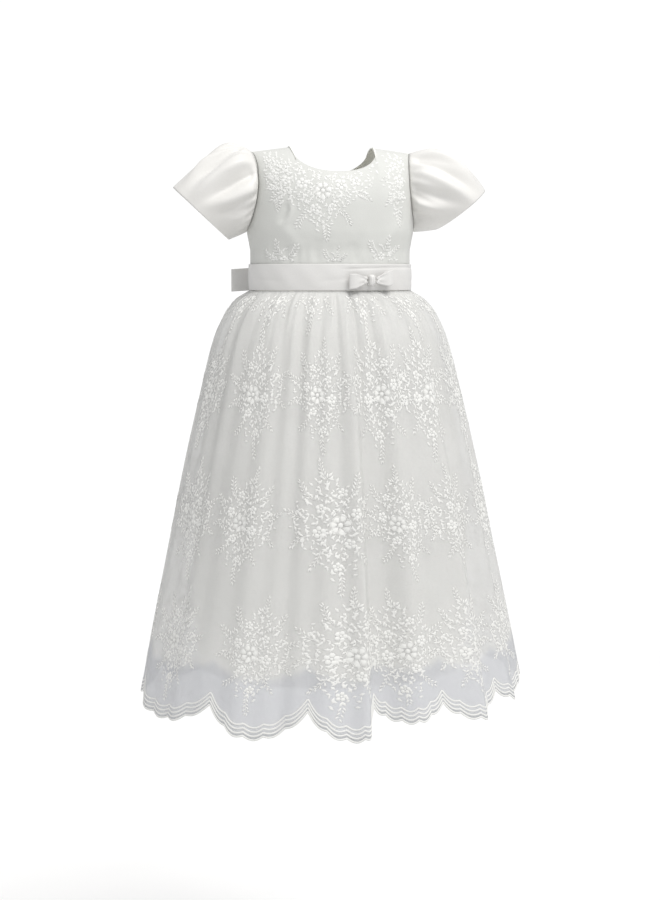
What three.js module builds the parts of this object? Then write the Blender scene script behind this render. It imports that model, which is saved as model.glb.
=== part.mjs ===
// Baby's christening gown in its worn, filled-out form. Millimetres, +Z up.
// The front faces -Y and the wearer's left is +X.
// The origin is midway between the shoulder seams, where the wearer's shoulders carry the gown.
import * as THREE from 'three';

// Cloth walls and seams
const SATIN_WALL = 1.3;
const NET_WALL = 1.1;
const RIBBON_WALL = 1.3;
const SEAM_GAP = 0.3;

// Body sizes
const CHEST_Z = -62;
const CHEST_HALF_WIDTH = 87;
const CHEST_FRONT = 65;
const CHEST_BACK = 59;
const BODY_ROUNDNESS = 2.2;
const SHOULDER_HALF_WIDTH = 87;
const SHOULDER_LENGTH = 40;
const SHOULDER_FALL = 6;
const SHOULDER_ARC = 98;
const NECK_HALF_WIDTH = 44;
const NECK_ANGLE = 29.57;
const NECK_ROUNDNESS = 2.25;
const FRONT_NECK_DROP = 27;
const BACK_NECK_DROP = 25;

// Waist and sash
const WAIST_Z = -147;
const SASH_HEIGHT = 27;
const SASH_LIFT = 0.45;

// Skirt
const NET_LENGTH = 435;
const LINING_LENGTH = 393;
const SCALLOP_DEPTH = 30;
const LOBES_PER_SCALLOP = 5;
const LOBE_DEPTH = 3.2;
const GATHERS_PER_SCALLOP = 2.5;
const GATHER_HEIGHT = 2.1;
const GATHER_FADE = 62;
const LINING_FOLD_SHARE = 0.4;

// Sleeves
const SLEEVE_UNDER_PUFF = 1;
const SLEEVE_SEAM = 0.5;
const SLEEVE_GATHERS = 12;
const SLEEVE_GATHER_HEIGHT = 1.9;

// Bodice below the chest line, a row per section
const BODICE_SECTIONS = [
  { z: -147, halfWidth: 83.2, front: 63.0, back: 60.0 },
  { z: -108, halfWidth: 83.2, front: 63.0, back: 60.0 },
  { z: -98, halfWidth: 84.6, front: 64.2, back: 60.2 },
  { z: -86, halfWidth: 86.6, front: 65.2, back: 60.0 },
  { z: -62, halfWidth: 87.0, front: 65.0, back: 59.0 },
];

// Armhole edge from the underarm to the shoulder end, a row per corner.
// Rise is the way up the body from the chest line, and the angles are those of the front and back edges.
const ARMHOLE = [
  { rise: -24, front: 90.0, back: 90.0 },
  { rise: -17, front: 78.0, back: 79.0 },
  { rise: -5, front: 69.0, back: 70.5 },
  { rise: 11, front: 63.5, back: 66.0 },
  { rise: 27, front: 61.5, back: 64.5 },
  { rise: 43, front: 61.5, back: 64.5 },
  { rise: 61, front: 63.5, back: 66.0 },
  { rise: 80, front: 67.0, back: 68.0 },
  { rise: 98, front: 71.0, back: 71.0 },
];

// Net skirt without its folds, a row per section below the waist seam
const NET_SECTIONS = [
  { drop: 0, halfWidth: 84.6, front: 64.4, back: 61.4 },
  { drop: 4, halfWidth: 90.0, front: 69.5, back: 67.0 },
  { drop: 13, halfWidth: 99.5, front: 77.0, back: 76.0 },
  { drop: 26, halfWidth: 108.5, front: 85.0, back: 85.0 },
  { drop: 48, halfWidth: 118.0, front: 94.0, back: 95.0 },
  { drop: 103, halfWidth: 131.0, front: 108.0, back: 109.0 },
  { drop: 183, halfWidth: 148.0, front: 125.0, back: 126.0 },
  { drop: 273, halfWidth: 164.5, front: 141.0, back: 142.0 },
  { drop: 353, halfWidth: 179.0, front: 154.0, back: 155.0 },
  { drop: 435, halfWidth: 193.0, front: 166.0, back: 167.0 },
];

// Straight-cut lining, a row per section below the waist seam
const LINING_SECTIONS = [
  { drop: 0, halfWidth: 83.0, front: 62.8, back: 59.8 },
  { drop: 13, halfWidth: 91.0, front: 70.0, back: 68.0 },
  { drop: 26, halfWidth: 99.0, front: 77.0, back: 76.0 },
  { drop: 48, halfWidth: 108.0, front: 85.5, back: 85.5 },
  { drop: 103, halfWidth: 122.0, front: 99.0, back: 99.5 },
  { drop: 183, halfWidth: 135.0, front: 113.0, back: 113.5 },
  { drop: 273, halfWidth: 141.0, front: 122.0, back: 122.5 },
  { drop: 333, halfWidth: 140.0, front: 124.0, back: 124.5 },
  { drop: 393, halfWidth: 135.0, front: 123.0, back: 123.5 },
];

// Big skirt folds. Angles are degrees from the front centre towards the wearer's left, at waist and hem.
// The two spreads are a fold's reach towards the wearer's right and left. Height is at the hem.
const SKIRT_FOLDS = [
  { waist: -78, hem: -80, spreadRight: 13, spreadLeft: 12, height: 12 },
  { waist: -53, hem: -55, spreadRight: 11, spreadLeft: 12, height: 8 },
  { waist: -33, hem: -34, spreadRight: 12, spreadLeft: 11, height: 11 },
  { waist: -16, hem: -13, spreadRight: 9, spreadLeft: 9, height: 8 },
  { waist: 4, hem: 3, spreadRight: 11, spreadLeft: 5, height: 17 },
  { waist: 21, hem: 20, spreadRight: 8, spreadLeft: 8, height: 9 },
  { waist: 38, hem: 37, spreadRight: 8, spreadLeft: 6.5, height: 15 },
  { waist: 56, hem: 57, spreadRight: 8, spreadLeft: 7, height: 13 },
  { waist: 77, hem: 79, spreadRight: 9, spreadLeft: 9, height: 15 },
  { waist: 101, hem: 101, spreadRight: 9, spreadLeft: 10, height: 15 },
  { waist: 124, hem: 124, spreadRight: 10, spreadLeft: 10, height: 9 },
  { waist: 146, hem: 147, spreadRight: 10, spreadLeft: 9, height: 12 },
  { waist: 167, hem: 168, spreadRight: 9, spreadLeft: 9, height: 9 },
  { waist: 189, hem: 190, spreadRight: 10, spreadLeft: 9, height: 13 },
  { waist: 211, hem: 212, spreadRight: 10, spreadLeft: 10, height: 9 },
  { waist: 233, hem: 234, spreadRight: 10, spreadLeft: 9, height: 13 },
  { waist: 256, hem: 256, spreadRight: 9, spreadLeft: 10, height: 10 },
];

// Hem scallops by the angle where each starts, from the wearer's right side seam forwards.
// Length is the net's length at a scallop's lowest place.
const SCALLOPS = [
  { start: -90, length: 431 },
  { start: -44, length: 435 },
  { start: -15, length: 435 },
  { start: 5.5, length: 423 },
  { start: 26, length: 427 },
  { start: 50, length: 422 },
  { start: 78, length: 412 },
  { start: 112, length: 430 },
  { start: 146, length: 434 },
  { start: 180, length: 431 },
  { start: 210, length: 434 },
  { start: 240, length: 430 },
  { start: 270, length: 432 },
];

// Sleeves, with the upper tip and foot of the cuff opening in front view, as sideways reach and height.
// Puff is how far the cloth swells, and a lower lean brings the swelling nearer to the armhole.
const SLEEVES = [
  {
    name: 'sleeve_right',
    side: -1,
    tip: { reach: 163, z: -42 },
    foot: { reach: 106, z: -95 },
    halfDepth: 39,
    puff: 16.5,
    lean: 0.46,
  },
  {
    name: 'sleeve_left',
    side: 1,
    tip: { reach: 164, z: -42 },
    foot: { reach: 112, z: -84 },
    halfDepth: 38,
    puff: 18,
    lean: 0.72,
  },
];

// Bow loops. Length runs out from the knot, droop is the fall of its far end.
const FRONT_BOW_LOOPS = [
  { name: 'front_bow_loop_right', side: -1, length: 19, height: 15, depth: 3.6, droop: 1.5 },
  { name: 'front_bow_loop_left', side: 1, length: 19, height: 15, depth: 3.6, droop: -3 },
];
const BACK_BOW_LOOPS = [
  { name: 'back_bow_loop_right', side: -1, length: 86, height: 24, depth: 7.5, droop: 4 },
  { name: 'back_bow_loop_left', side: 1, length: 86, height: 24, depth: 7.5, droop: 4 },
];
const FRONT_BOW_ANGLE = 21;
const FRONT_BOW_Z = -136.5;
const FRONT_KNOT = { halfWidth: 3.6, halfDepth: 4.2, halfHeight: 5.6 };
const BACK_BOW_Z = -133;
const BACK_KNOT = { halfWidth: 9, halfDepth: 6.5, halfHeight: 12 };

// Sash tails behind, lying on the net skirt
const TAILS = [
  { name: 'back_bow_tail_right', topAngle: 185.6, endAngle: 190.5, length: 236 },
  { name: 'back_bow_tail_left', topAngle: 174.4, endAngle: 168, length: 222 },
];
const TAIL_TOP_HALF = 6;
const TAIL_HALF = 13;
const TAIL_SLANT = 14;
const TAIL_LIFT = 0.9;

const SATIN = new THREE.MeshStandardMaterial({ color: 0xecebe7, roughness: 0.42, metalness: 0 });
const BODICE = new THREE.MeshStandardMaterial({ color: 0xe6e6e2, roughness: 0.6, metalness: 0 });
const NET = new THREE.MeshStandardMaterial({ color: 0xe9e9ee, roughness: 0.8, metalness: 0 });
const LINING = new THREE.MeshStandardMaterial({ color: 0xdfdfd9, roughness: 0.55, metalness: 0 });

const radians = (degrees) => (degrees * Math.PI) / 180;
const mix = (from, to, share) => from + (to - from) * share;
const clamp01 = (value) => Math.min(1, Math.max(0, value));
const smooth = (value) => clamp01(value) ** 2 * (3 - 2 * clamp01(value));
const steps = (count, from = 0, to = 1) =>
  Array.from({ length: count + 1 }, (_, index) => mix(from, to, index / count));

// Slope of one column at a table row, kept flat at turning points so that curves don't overshoot.
function columnSlope(table, key, column, row) {
  const slopeBetween = (low) =>
    (table[low + 1][column] - table[low][column]) / (table[low + 1][key] - table[low][key]);
  if (row === 0) {
    return slopeBetween(0);
  }
  if (row === table.length - 1) {
    return slopeBetween(row - 1);
  }
  const before = slopeBetween(row - 1);
  const after = slopeBetween(row);
  return before * after <= 0 ? 0 : (2 * before * after) / (before + after);
}

// Reads one column of a table at a value of its key column, along a smooth curve.
function readColumn(table, key, column, at) {
  const last = table.length - 2;
  const found = table.findIndex((row, index) => index > 0 && at <= row[key]);
  const low = found < 0 ? last : Math.max(0, Math.min(last, found - 1));
  const span = table[low + 1][key] - table[low][key];
  const share = (at - table[low][key]) / span;
  const slopeLow = columnSlope(table, key, column, low);
  const slopeHigh = columnSlope(table, key, column, low + 1);
  if (share < 0) {
    return table[low][column] + slopeLow * span * share;
  }
  if (share > 1) {
    return table[low + 1][column] + slopeHigh * span * (share - 1);
  }
  const bend = share ** 2 * (3 - 2 * share);
  const start = share * (1 - share) ** 2 * span * slopeLow;
  const end = share ** 2 * (share - 1) * span * slopeHigh;
  return mix(table[low][column], table[low + 1][column], bend) + start + end;
}

// Point of a rounded oval ring. Degrees run from the front centre towards the wearer's left.
function ovalPoint(degrees, halfWidth, front, back, z) {
  const sine = Math.sin(radians(degrees));
  const cosine = Math.cos(radians(degrees));
  const sum = Math.abs(sine) ** BODY_ROUNDNESS + Math.abs(cosine) ** BODY_ROUNDNESS;
  const scale = sum ** (-1 / BODY_ROUNDNESS);
  const depth = cosine > 0 ? front : back;
  return new THREE.Vector3(scale * halfWidth * sine, -scale * depth * cosine, z);
}

// Unit normal of a surface, towards the side its two parameters turn right-handed about.
function surfaceNormal(surface, u, v, uStep, vStep) {
  const alongU = surface(u + uStep, v).sub(surface(u - uStep, v));
  const alongV = surface(u, v + vStep).sub(surface(u, v - vStep));
  return alongU.cross(alongV).normalize();
}

// Closed cloth wall on a surface of two parameters, behind its normal, or before it where it's turned.
// A negative thickness grows the wall the other way.
function clothWall(surface, us, vs, thickness, { loop = false, turned = false } = {}) {
  const uStep = (us[us.length - 1] - us[0]) * 5e-4;
  const vStep = (vs[vs.length - 1] - vs[0]) * 5e-4;
  const columns = loop ? us.length - 1 : us.length;
  const rows = vs.length;
  const outer = [];
  const inner = [];
  for (let column = 0; column < columns; column += 1) {
    for (let row = 0; row < rows; row += 1) {
      const face = surface(us[column], vs[row]);
      const normal = surfaceNormal(surface, us[column], vs[row], uStep, vStep);
      const back = face.clone().addScaledVector(normal, turned ? thickness : -thickness);
      outer.push(face.x, face.y, face.z);
      inner.push(back.x, back.y, back.z);
    }
  }
  const count = columns * rows;
  const at = (column, row, layer) => layer * count + (column % columns) * rows + row;
  const index = [];
  const reversed = turned !== thickness < 0;
  const quad = (a, b, c, d) => {
    if (reversed) {
      index.push(a, c, b, a, d, c);
    } else {
      index.push(a, b, c, a, c, d);
    }
  };
  for (let column = 0; column < us.length - 1; column += 1) {
    const next = column + 1;
    for (let row = 0; row < rows - 1; row += 1) {
      quad(at(column, row, 0), at(next, row, 0), at(next, row + 1, 0), at(column, row + 1, 0));
      quad(at(column, row, 1), at(column, row + 1, 1), at(next, row + 1, 1), at(next, row, 1));
    }
    const top = rows - 1;
    quad(at(column, 0, 0), at(column, 0, 1), at(next, 0, 1), at(next, 0, 0));
    quad(at(column, top, 0), at(next, top, 0), at(next, top, 1), at(column, top, 1));
  }
  if (!loop) {
    const end = columns - 1;
    for (let row = 0; row < rows - 1; row += 1) {
      quad(at(0, row, 0), at(0, row + 1, 0), at(0, row + 1, 1), at(0, row, 1));
      quad(at(end, row, 0), at(end, row, 1), at(end, row + 1, 1), at(end, row + 1, 0));
    }
  }
  const geometry = new THREE.BufferGeometry();
  geometry.setAttribute('position', new THREE.Float32BufferAttribute(outer.concat(inner), 3));
  geometry.setIndex(index);
  geometry.computeVertexNormals();
  return geometry;
}

// Outside of the bodice. Rise is the way up the body from the chest line, over the shoulder to its top.
function bodicePoint(degrees, rise) {
  if (rise <= 0) {
    const z = CHEST_Z + rise;
    const width = readColumn(BODICE_SECTIONS, 'z', 'halfWidth', z);
    const front = readColumn(BODICE_SECTIONS, 'z', 'front', z);
    const back = readColumn(BODICE_SECTIONS, 'z', 'back', z);
    return ovalPoint(degrees, width, front, back, z);
  }
  const turn = ((rise / SHOULDER_ARC) * Math.PI) / 2;
  const width = mix(CHEST_HALF_WIDTH, SHOULDER_HALF_WIDTH, smooth(rise / SHOULDER_ARC));
  const depth = Math.cos(turn);
  const point = ovalPoint(degrees, width, CHEST_FRONT * depth, CHEST_BACK * depth, 0);
  const outward = Math.max(0, Math.abs(point.x) - NECK_HALF_WIDTH) / SHOULDER_LENGTH;
  point.z = CHEST_Z - CHEST_Z * Math.sin(turn) - SHOULDER_FALL * outward * (rise / SHOULDER_ARC) ** 2;
  return point;
}

// Rise of a panel's upper edge, along the neck curve and then the shoulder seam.
function upperEdge(degrees, neckDrop) {
  if (degrees >= NECK_ANGLE) {
    return SHOULDER_ARC;
  }
  const x = ovalPoint(degrees, SHOULDER_HALF_WIDTH, 1, 1, 0).x;
  const z = -neckDrop * Math.max(0, 1 - (x / NECK_HALF_WIDTH) ** NECK_ROUNDNESS) ** (1 / NECK_ROUNDNESS);
  return (Math.asin((z - CHEST_Z) / -CHEST_Z) / (Math.PI / 2)) * SHOULDER_ARC;
}

// Bodice panel surface. Across runs -1 to 1 between its sides.
// Rise is the way up its sides, from the waist by the side seam and armhole to the shoulder end.
function bodicePanel(neckDrop, column, isBack) {
  const shoulderAngle = ARMHOLE[ARMHOLE.length - 1][column];
  return (across, sideRise) => {
    const side = across < 0 ? -1 : 1;
    const reach = Math.abs(across);
    const top = upperEdge(reach * shoulderAngle, neckDrop);
    const low = WAIST_Z - CHEST_Z;
    const rise = mix(low, top, (sideRise - low) / (SHOULDER_ARC - low));
    const sideAngle = sideRise <= ARMHOLE[0].rise ? 90 : readColumn(ARMHOLE, 'rise', column, sideRise);
    const angle = side * reach * sideAngle;
    const point = bodicePoint(isBack ? 180 - angle : angle, rise);
    point.y += isBack ? SEAM_GAP / 2 : -SEAM_GAP / 2;
    return point;
  };
}

const frontPanel = bodicePanel(FRONT_NECK_DROP, 'front', false);
const backPanel = bodicePanel(BACK_NECK_DROP, 'back', true);

// Armhole edge of the bodice panels, straight between its corners.
// Round runs 0 at the shoulder, 0.5 at the underarm, back to 1 behind.
function armholePoint(round, side) {
  const panel = round <= 0.5 ? frontPanel : backPanel;
  const place = Math.abs(1 - 2 * round) * (ARMHOLE.length - 1);
  const low = Math.min(ARMHOLE.length - 2, Math.floor(place));
  return panel(side, ARMHOLE[low].rise).lerp(panel(side, ARMHOLE[low + 1].rise), place - low);
}

// Puff sleeve surface. Round goes about the armhole, length 0 at the armhole to 1 at the cuff.
function sleeveSurface({ side, tip, foot, halfDepth, puff, lean }) {
  const middle = new THREE.Vector3((side * (tip.reach + foot.reach)) / 2, 0, (tip.z + foot.z) / 2);
  const upward = new THREE.Vector3((side * (tip.reach - foot.reach)) / 2, 0, (tip.z - foot.z) / 2);
  const halfHeight = upward.length();
  upward.normalize();
  const forward = new THREE.Vector3(0, -1, 0);
  return (roundAny, length) => {
    const round = roundAny - Math.floor(roundAny);
    const turn = round * 2 * Math.PI;
    const cosine = Math.cos(turn);
    const sine = Math.sin(turn);
    const head = armholePoint(round, side);
    head.x += side * SLEEVE_SEAM;
    const cuff = middle.clone().addScaledVector(upward, halfHeight * cosine);
    cuff.addScaledVector(forward, halfDepth * sine);
    const topShare = ((1 + cosine) / 2) ** 0.55;
    const out = upward.clone().multiplyScalar(cosine).addScaledVector(forward, sine);
    if (cosine < 0) {
      out.x = 0;
    }
    const puffShape = length <= 0 ? 0 : Math.sin(Math.PI * Math.min(1, length) ** lean) ** 0.9;
    const gatherFade = Math.exp(1 - length / 0.13) * (length / 0.13);
    const gather = SLEEVE_GATHER_HEIGHT * Math.cos(SLEEVE_GATHERS * turn) * gatherFade * topShare;
    const swell = mix(SLEEVE_UNDER_PUFF, puff, topShare) * Math.max(0, puffShape);
    return head.lerp(cuff, length).addScaledVector(out, swell + gather);
  };
}

// Outward reach of the big folds at an angle. Share runs 0 at the waist to 1 at the hem.
function foldHeight(degrees, share) {
  return SKIRT_FOLDS.reduce((sum, fold) => {
    const ridge = mix(fold.waist, fold.hem, share);
    const away = ((((degrees - ridge + 180) % 360) + 360) % 360) - 180;
    const spread = away < 0 ? fold.spreadRight : fold.spreadLeft;
    return sum + fold.height * Math.exp(-((away / spread) ** 2));
  }, 0) * (0.1 + 0.9 * clamp01(share) ** 0.85) * smooth(share / 0.03);
}

// Angle of a place along the scallops, counted in scallops from the wearer's right side seam.
function scallopAngle(place) {
  const low = Math.min(SCALLOPS.length - 2, Math.max(0, Math.floor(place)));
  return mix(SCALLOPS[low].start, SCALLOPS[low + 1].start, place - low);
}

// Length of the net at a place along the scallops, with each scallop's small lobes.
function netLength(place) {
  const low = Math.min(SCALLOPS.length - 2, Math.max(0, Math.floor(place)));
  const share = place - low;
  const arch = 1 - Math.abs(2 * share - 1) ** 2.1;
  const lobe = Math.abs(Math.sin(LOBES_PER_SCALLOP * Math.PI * share));
  const upper = NET_LENGTH - SCALLOP_DEPTH;
  return upper + (SCALLOPS[low].length - upper - LOBE_DEPTH) * arch + LOBE_DEPTH * lobe;
}

// Skirt cloth pushed out by its folds and gathers, at an angle and a drop below the waist seam.
function skirtPoint(sections, degrees, drop, outward) {
  return ovalPoint(
    degrees,
    readColumn(sections, 'drop', 'halfWidth', drop) + outward,
    readColumn(sections, 'drop', 'front', drop) + outward,
    readColumn(sections, 'drop', 'back', drop) + outward,
    WAIST_Z - SEAM_GAP - drop,
  );
}

// Small waist gathers at a place along the scallops.
function gatherHeight(place, drop) {
  const fade = smooth(drop / 7) * Math.exp(-Math.max(0, drop) / GATHER_FADE);
  return GATHER_HEIGHT * Math.cos(2 * Math.PI * GATHERS_PER_SCALLOP * place) * fade;
}

// Net skirt surface. Place counts scallops, share runs 0 at the waist to 1 at the scalloped edge.
function netSurface(place, share) {
  const upper = NET_LENGTH - SCALLOP_DEPTH;
  const drop = share * upper + (netLength(place) - upper) * clamp01(share) ** 6;
  return netPoint(scallopAngle(place), drop, gatherHeight(place, drop));
}

// Net skirt at an angle and a drop below the waist seam.
function netPoint(degrees, drop, gather) {
  return skirtPoint(NET_SECTIONS, degrees, drop, foldHeight(degrees, drop / NET_LENGTH) + gather);
}

// Lining surface, its folds softer than the net's.
function liningSurface(degrees, share) {
  const drop = share * LINING_LENGTH;
  const fold = LINING_FOLD_SHARE * foldHeight(degrees, drop / NET_LENGTH);
  return skirtPoint(LINING_SECTIONS, degrees, drop, fold);
}

// Sash surface, laid on the bodice just above the waist seam.
function sashSurface(degrees, height) {
  const lift = SASH_LIFT + RIBBON_WALL;
  const section = BODICE_SECTIONS[0];
  const z = WAIST_Z + height * SASH_HEIGHT;
  return ovalPoint(degrees, section.halfWidth + lift, section.front + lift, section.back + lift, z);
}

// Axes of a bow on the sash at an angle: out from the sash, sideways to the wearer's left, and its seat.
function bowSeat(degrees, z) {
  const height = (z - WAIST_Z) / SASH_HEIGHT;
  const seat = sashSurface(degrees, height);
  const sideways = sashSurface(degrees + 1, height).sub(sashSurface(degrees - 1, height)).normalize();
  if (Math.cos(radians(degrees)) < 0) {
    sideways.negate();
  }
  const outward = new THREE.Vector3(seat.x, seat.y, 0).normalize();
  outward.addScaledVector(sideways, -outward.dot(sideways)).normalize();
  return { seat, sideways, outward };
}

// Inside face of a ribbon loop, pinched at the knot. Round goes about the loop, width over the ribbon.
function loopSurface(bow, { side, length, height, depth, droop }, knotHalf, stand) {
  return (round, width) => {
    const turn = round * 2 * Math.PI;
    const reach = (1 - Math.cos(turn)) / 2;
    const hollow = mix(0.5, depth, smooth(reach * 1.25)) * Math.sin(turn);
    const tall = (height / 2) * mix(0.42, 1, smooth(reach * 1.3));
    const out = stand + RIBBON_WALL + depth + 0.3 + hollow - 1.5 * reach;
    const point = bow.seat.clone();
    point.addScaledVector(bow.sideways, side * (knotHalf + SEAM_GAP + RIBBON_WALL + reach * length));
    point.addScaledVector(bow.outward, out);
    point.z += width * tall - droop * reach ** 1.5;
    return point;
  };
}

// Plump knot: a wrapped band rounded on every side.
function knotGeometry(bow, { halfWidth, halfDepth, halfHeight }) {
  const ball = new THREE.SphereGeometry(1, 14, 9);
  const place = ball.getAttribute('position');
  const centre = bow.seat.clone().addScaledVector(bow.outward, halfDepth + SEAM_GAP);
  const hand = Math.sign(bow.sideways.clone().cross(bow.outward).z);
  for (let index = 0; index < place.count; index += 1) {
    const unit = new THREE.Vector3().fromBufferAttribute(place, index);
    const sum = Math.abs(unit.x) ** 3 + Math.abs(unit.y) ** 3 + Math.abs(unit.z) ** 3;
    unit.multiplyScalar(sum ** (-1 / 3));
    const point = centre.clone().addScaledVector(bow.sideways, hand * unit.x * halfWidth);
    point.addScaledVector(bow.outward, unit.y * halfDepth);
    point.z += unit.z * halfHeight;
    place.setXYZ(index, point.x, point.y, point.z);
  }
  ball.deleteAttribute('normal');
  ball.deleteAttribute('uv');
  return ball;
}

// Outside of a sash tail, made from the net's own points moved out. Width runs -1 to 1 over the ribbon.
function tailSurface({ topAngle, endAngle, length }) {
  return (width, share) => {
    const drop = share * (length + TAIL_SLANT * width * share ** 2);
    const scale = readColumn(NET_SECTIONS, 'drop', 'halfWidth', drop);
    const half = mix(TAIL_TOP_HALF, TAIL_HALF, smooth(drop / 45));
    const aside = ((width * half) / scale) * (180 / Math.PI);
    const angle = mix(topAngle, endAngle, clamp01(drop / length)) + aside;
    const near = (degrees, down) => netPoint(degrees, down, GATHER_HEIGHT * Math.exp(-down / GATHER_FADE));
    const face = near(angle, drop);
    const alongU = near(angle + 0.1, drop).sub(near(angle - 0.1, drop));
    const alongV = near(angle, drop - 0.1).sub(near(angle, drop + 0.1));
    return face.addScaledVector(alongU.cross(alongV).normalize(), TAIL_LIFT + RIBBON_WALL);
  };
}

const gown = new THREE.Group();
gown.name = 'christening_gown';

function add(name, geometry, material) {
  const mesh = new THREE.Mesh(geometry, material);
  mesh.name = name;
  gown.add(mesh);
}

// Bodice
const bodiceRises = [WAIST_Z - CHEST_Z, -66, -45, ...ARMHOLE.map((row) => row.rise)];
const neckShare = NECK_ANGLE / ARMHOLE[ARMHOLE.length - 1].front;
const neckColumns = [0, 0.24, 0.47, 0.67, 0.83, 0.94, 1].map((share) => share * neckShare);
const halfColumns = [...neckColumns, ...steps(5, neckShare, 1).slice(1)];
const frontColumns = [...halfColumns.slice(1).map((across) => -across).reverse(), ...halfColumns];
add('bodice_front', clothWall(frontPanel, frontColumns, bodiceRises, SATIN_WALL), BODICE);

const closingEdge = (SEAM_GAP / 2 / (CHEST_BACK * Math.PI)) * 2;
const backColumns = [closingEdge, ...halfColumns.slice(1)];
add(
  'bodice_back_left',
  clothWall(backPanel, backColumns, bodiceRises, SATIN_WALL, { turned: true }),
  BODICE,
);
const mirrored = backColumns.map((across) => -across).reverse();
add(
  'bodice_back_right',
  clothWall(backPanel, mirrored, bodiceRises, SATIN_WALL, { turned: true }),
  BODICE,
);

// Sleeves
const sleeveLengths = [0, 0.02, 0.06, 0.13, 0.24, 0.4, 0.6, 0.8, 1];
for (const sleeve of SLEEVES) {
  const wall = clothWall(sleeveSurface(sleeve), steps(48), sleeveLengths, SATIN_WALL, {
    loop: true,
    turned: sleeve.side < 0,
  });
  add(sleeve.name, wall, SATIN);
}

// Sash
const seamAngle = 0.14;
const sashFront = steps(30, -90 + seamAngle, 90 - seamAngle);
const sashBack = steps(30, 90 + seamAngle, 270 - seamAngle);
add('sash_front', clothWall(sashSurface, sashFront, [0, 1], RIBBON_WALL), SATIN);
add('sash_back', clothWall(sashSurface, sashBack, [0, 1], RIBBON_WALL), SATIN);

// Skirt net and lining, each a front and a back panel
const netShares = [0, 0.011, 0.028, 0.055, 0.1, 0.17, 0.28, 0.42, 0.57, 0.73, 0.88, 1];
const seamShare = 0.0045;
const netColumns = (from, to) => {
  const columns = steps((to - from) * 10, from, to);
  columns[0] += seamShare;
  columns[columns.length - 1] -= seamShare;
  return columns;
};
const downward = { turned: true };
add('skirt_net_front', clothWall(netSurface, netColumns(0, 6), netShares, NET_WALL, downward), NET);
add('skirt_net_back', clothWall(netSurface, netColumns(6, 12), netShares, NET_WALL, downward), NET);

const liningShares = [0, 0.03, 0.07, 0.13, 0.26, 0.45, 0.68, 0.86, 1];
const liningFront = steps(36, -90 + seamAngle, 90 - seamAngle);
const liningBack = steps(36, 90 + seamAngle, 270 - seamAngle);
add('skirt_lining_front', clothWall(liningSurface, liningFront, liningShares, SATIN_WALL, downward), LINING);
add('skirt_lining_back', clothWall(liningSurface, liningBack, liningShares, SATIN_WALL, downward), LINING);

// Front bow
const ribbonWidths = [-1, 0, 1];
const frontBow = bowSeat(FRONT_BOW_ANGLE, FRONT_BOW_Z);
for (const loop of FRONT_BOW_LOOPS) {
  const surface = loopSurface(frontBow, loop, FRONT_KNOT.halfWidth, SEAM_GAP);
  const facing = { loop: true, turned: loop.side < 0 };
  const wall = clothWall(surface, steps(20), ribbonWidths, -RIBBON_WALL, facing);
  add(loop.name, wall, SATIN);
}
add('front_bow_knot', knotGeometry(frontBow, FRONT_KNOT), SATIN);

// Back bow
const backBow = bowSeat(180, BACK_BOW_Z);
for (const loop of BACK_BOW_LOOPS) {
  const surface = loopSurface(backBow, loop, BACK_KNOT.halfWidth, SEAM_GAP);
  const facing = { loop: true, turned: loop.side > 0 };
  const wall = clothWall(surface, steps(24), ribbonWidths, -RIBBON_WALL, facing);
  add(loop.name, wall, SATIN);
}
add('back_bow_knot', knotGeometry(backBow, BACK_KNOT), SATIN);
for (const tail of TAILS) {
  const shares = [3, ...netShares.map((share) => share * (NET_LENGTH - SCALLOP_DEPTH))];
  const rows = shares.filter((drop) => drop > 2 && drop < tail.length - 15).map((drop) => drop / tail.length);
  const wall = clothWall(tailSurface(tail), steps(6, -1, 1), [...rows, 1], RIBBON_WALL, downward);
  add(tail.name, wall, SATIN);
}

export default gown;
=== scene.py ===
import logging
import math
from dataclasses import dataclass
from enum import Enum
from typing import Callable, Iterable, Sequence

import bpy
import numpy as np
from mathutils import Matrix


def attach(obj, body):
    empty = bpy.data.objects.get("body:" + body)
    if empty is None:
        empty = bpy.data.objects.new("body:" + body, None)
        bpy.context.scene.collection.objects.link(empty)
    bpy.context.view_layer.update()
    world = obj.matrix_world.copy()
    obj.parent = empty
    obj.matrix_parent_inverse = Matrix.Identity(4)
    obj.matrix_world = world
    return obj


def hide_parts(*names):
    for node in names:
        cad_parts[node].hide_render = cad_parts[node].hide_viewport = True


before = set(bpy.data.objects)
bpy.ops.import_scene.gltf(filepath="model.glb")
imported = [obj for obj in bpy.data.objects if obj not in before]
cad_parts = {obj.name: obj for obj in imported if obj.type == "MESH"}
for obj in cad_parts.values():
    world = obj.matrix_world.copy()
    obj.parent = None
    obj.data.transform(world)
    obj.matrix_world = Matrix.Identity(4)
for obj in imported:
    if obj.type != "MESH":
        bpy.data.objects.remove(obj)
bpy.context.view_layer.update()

MILLIMETRE = 0.001
BODY_ROUNDNESS = 2.2
SEAM_ANGLE = 0.14

Array = np.ndarray
Surface = Callable[[Array, Array], Array]
Colour = tuple[float, float, float]
log = logging.getLogger("christening_gown")


class Slot(Enum):
    """Material slots of the gown's record."""

    SATIN = "satin"
    SASH = "sash_satin"
    BODICE = "bodice_cloth"
    NET = "embroidered_net"
    LINING = "lining_satin"


class Held(Enum):
    """How a cut piece of cloth is held."""

    HUNG = "hung"
    GATHERED = "gathered"
    LAID = "laid"
    FOLDED = "folded"


def mix(start: Array, end: Array, share: Array) -> Array:
    """Value a share of the way between two others."""
    return start + (end - start) * share


def smooth(value: Array) -> Array:
    """Soft step from 0 to 1."""
    held = np.clip(value, 0.0, 1.0)
    return held * held * (3.0 - 2.0 * held)


def bump(away: Array, spread: Array) -> Array:
    """Soft hump of height 1, by distance from its middle."""
    return np.exp(-((away / spread) ** 2))


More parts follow.
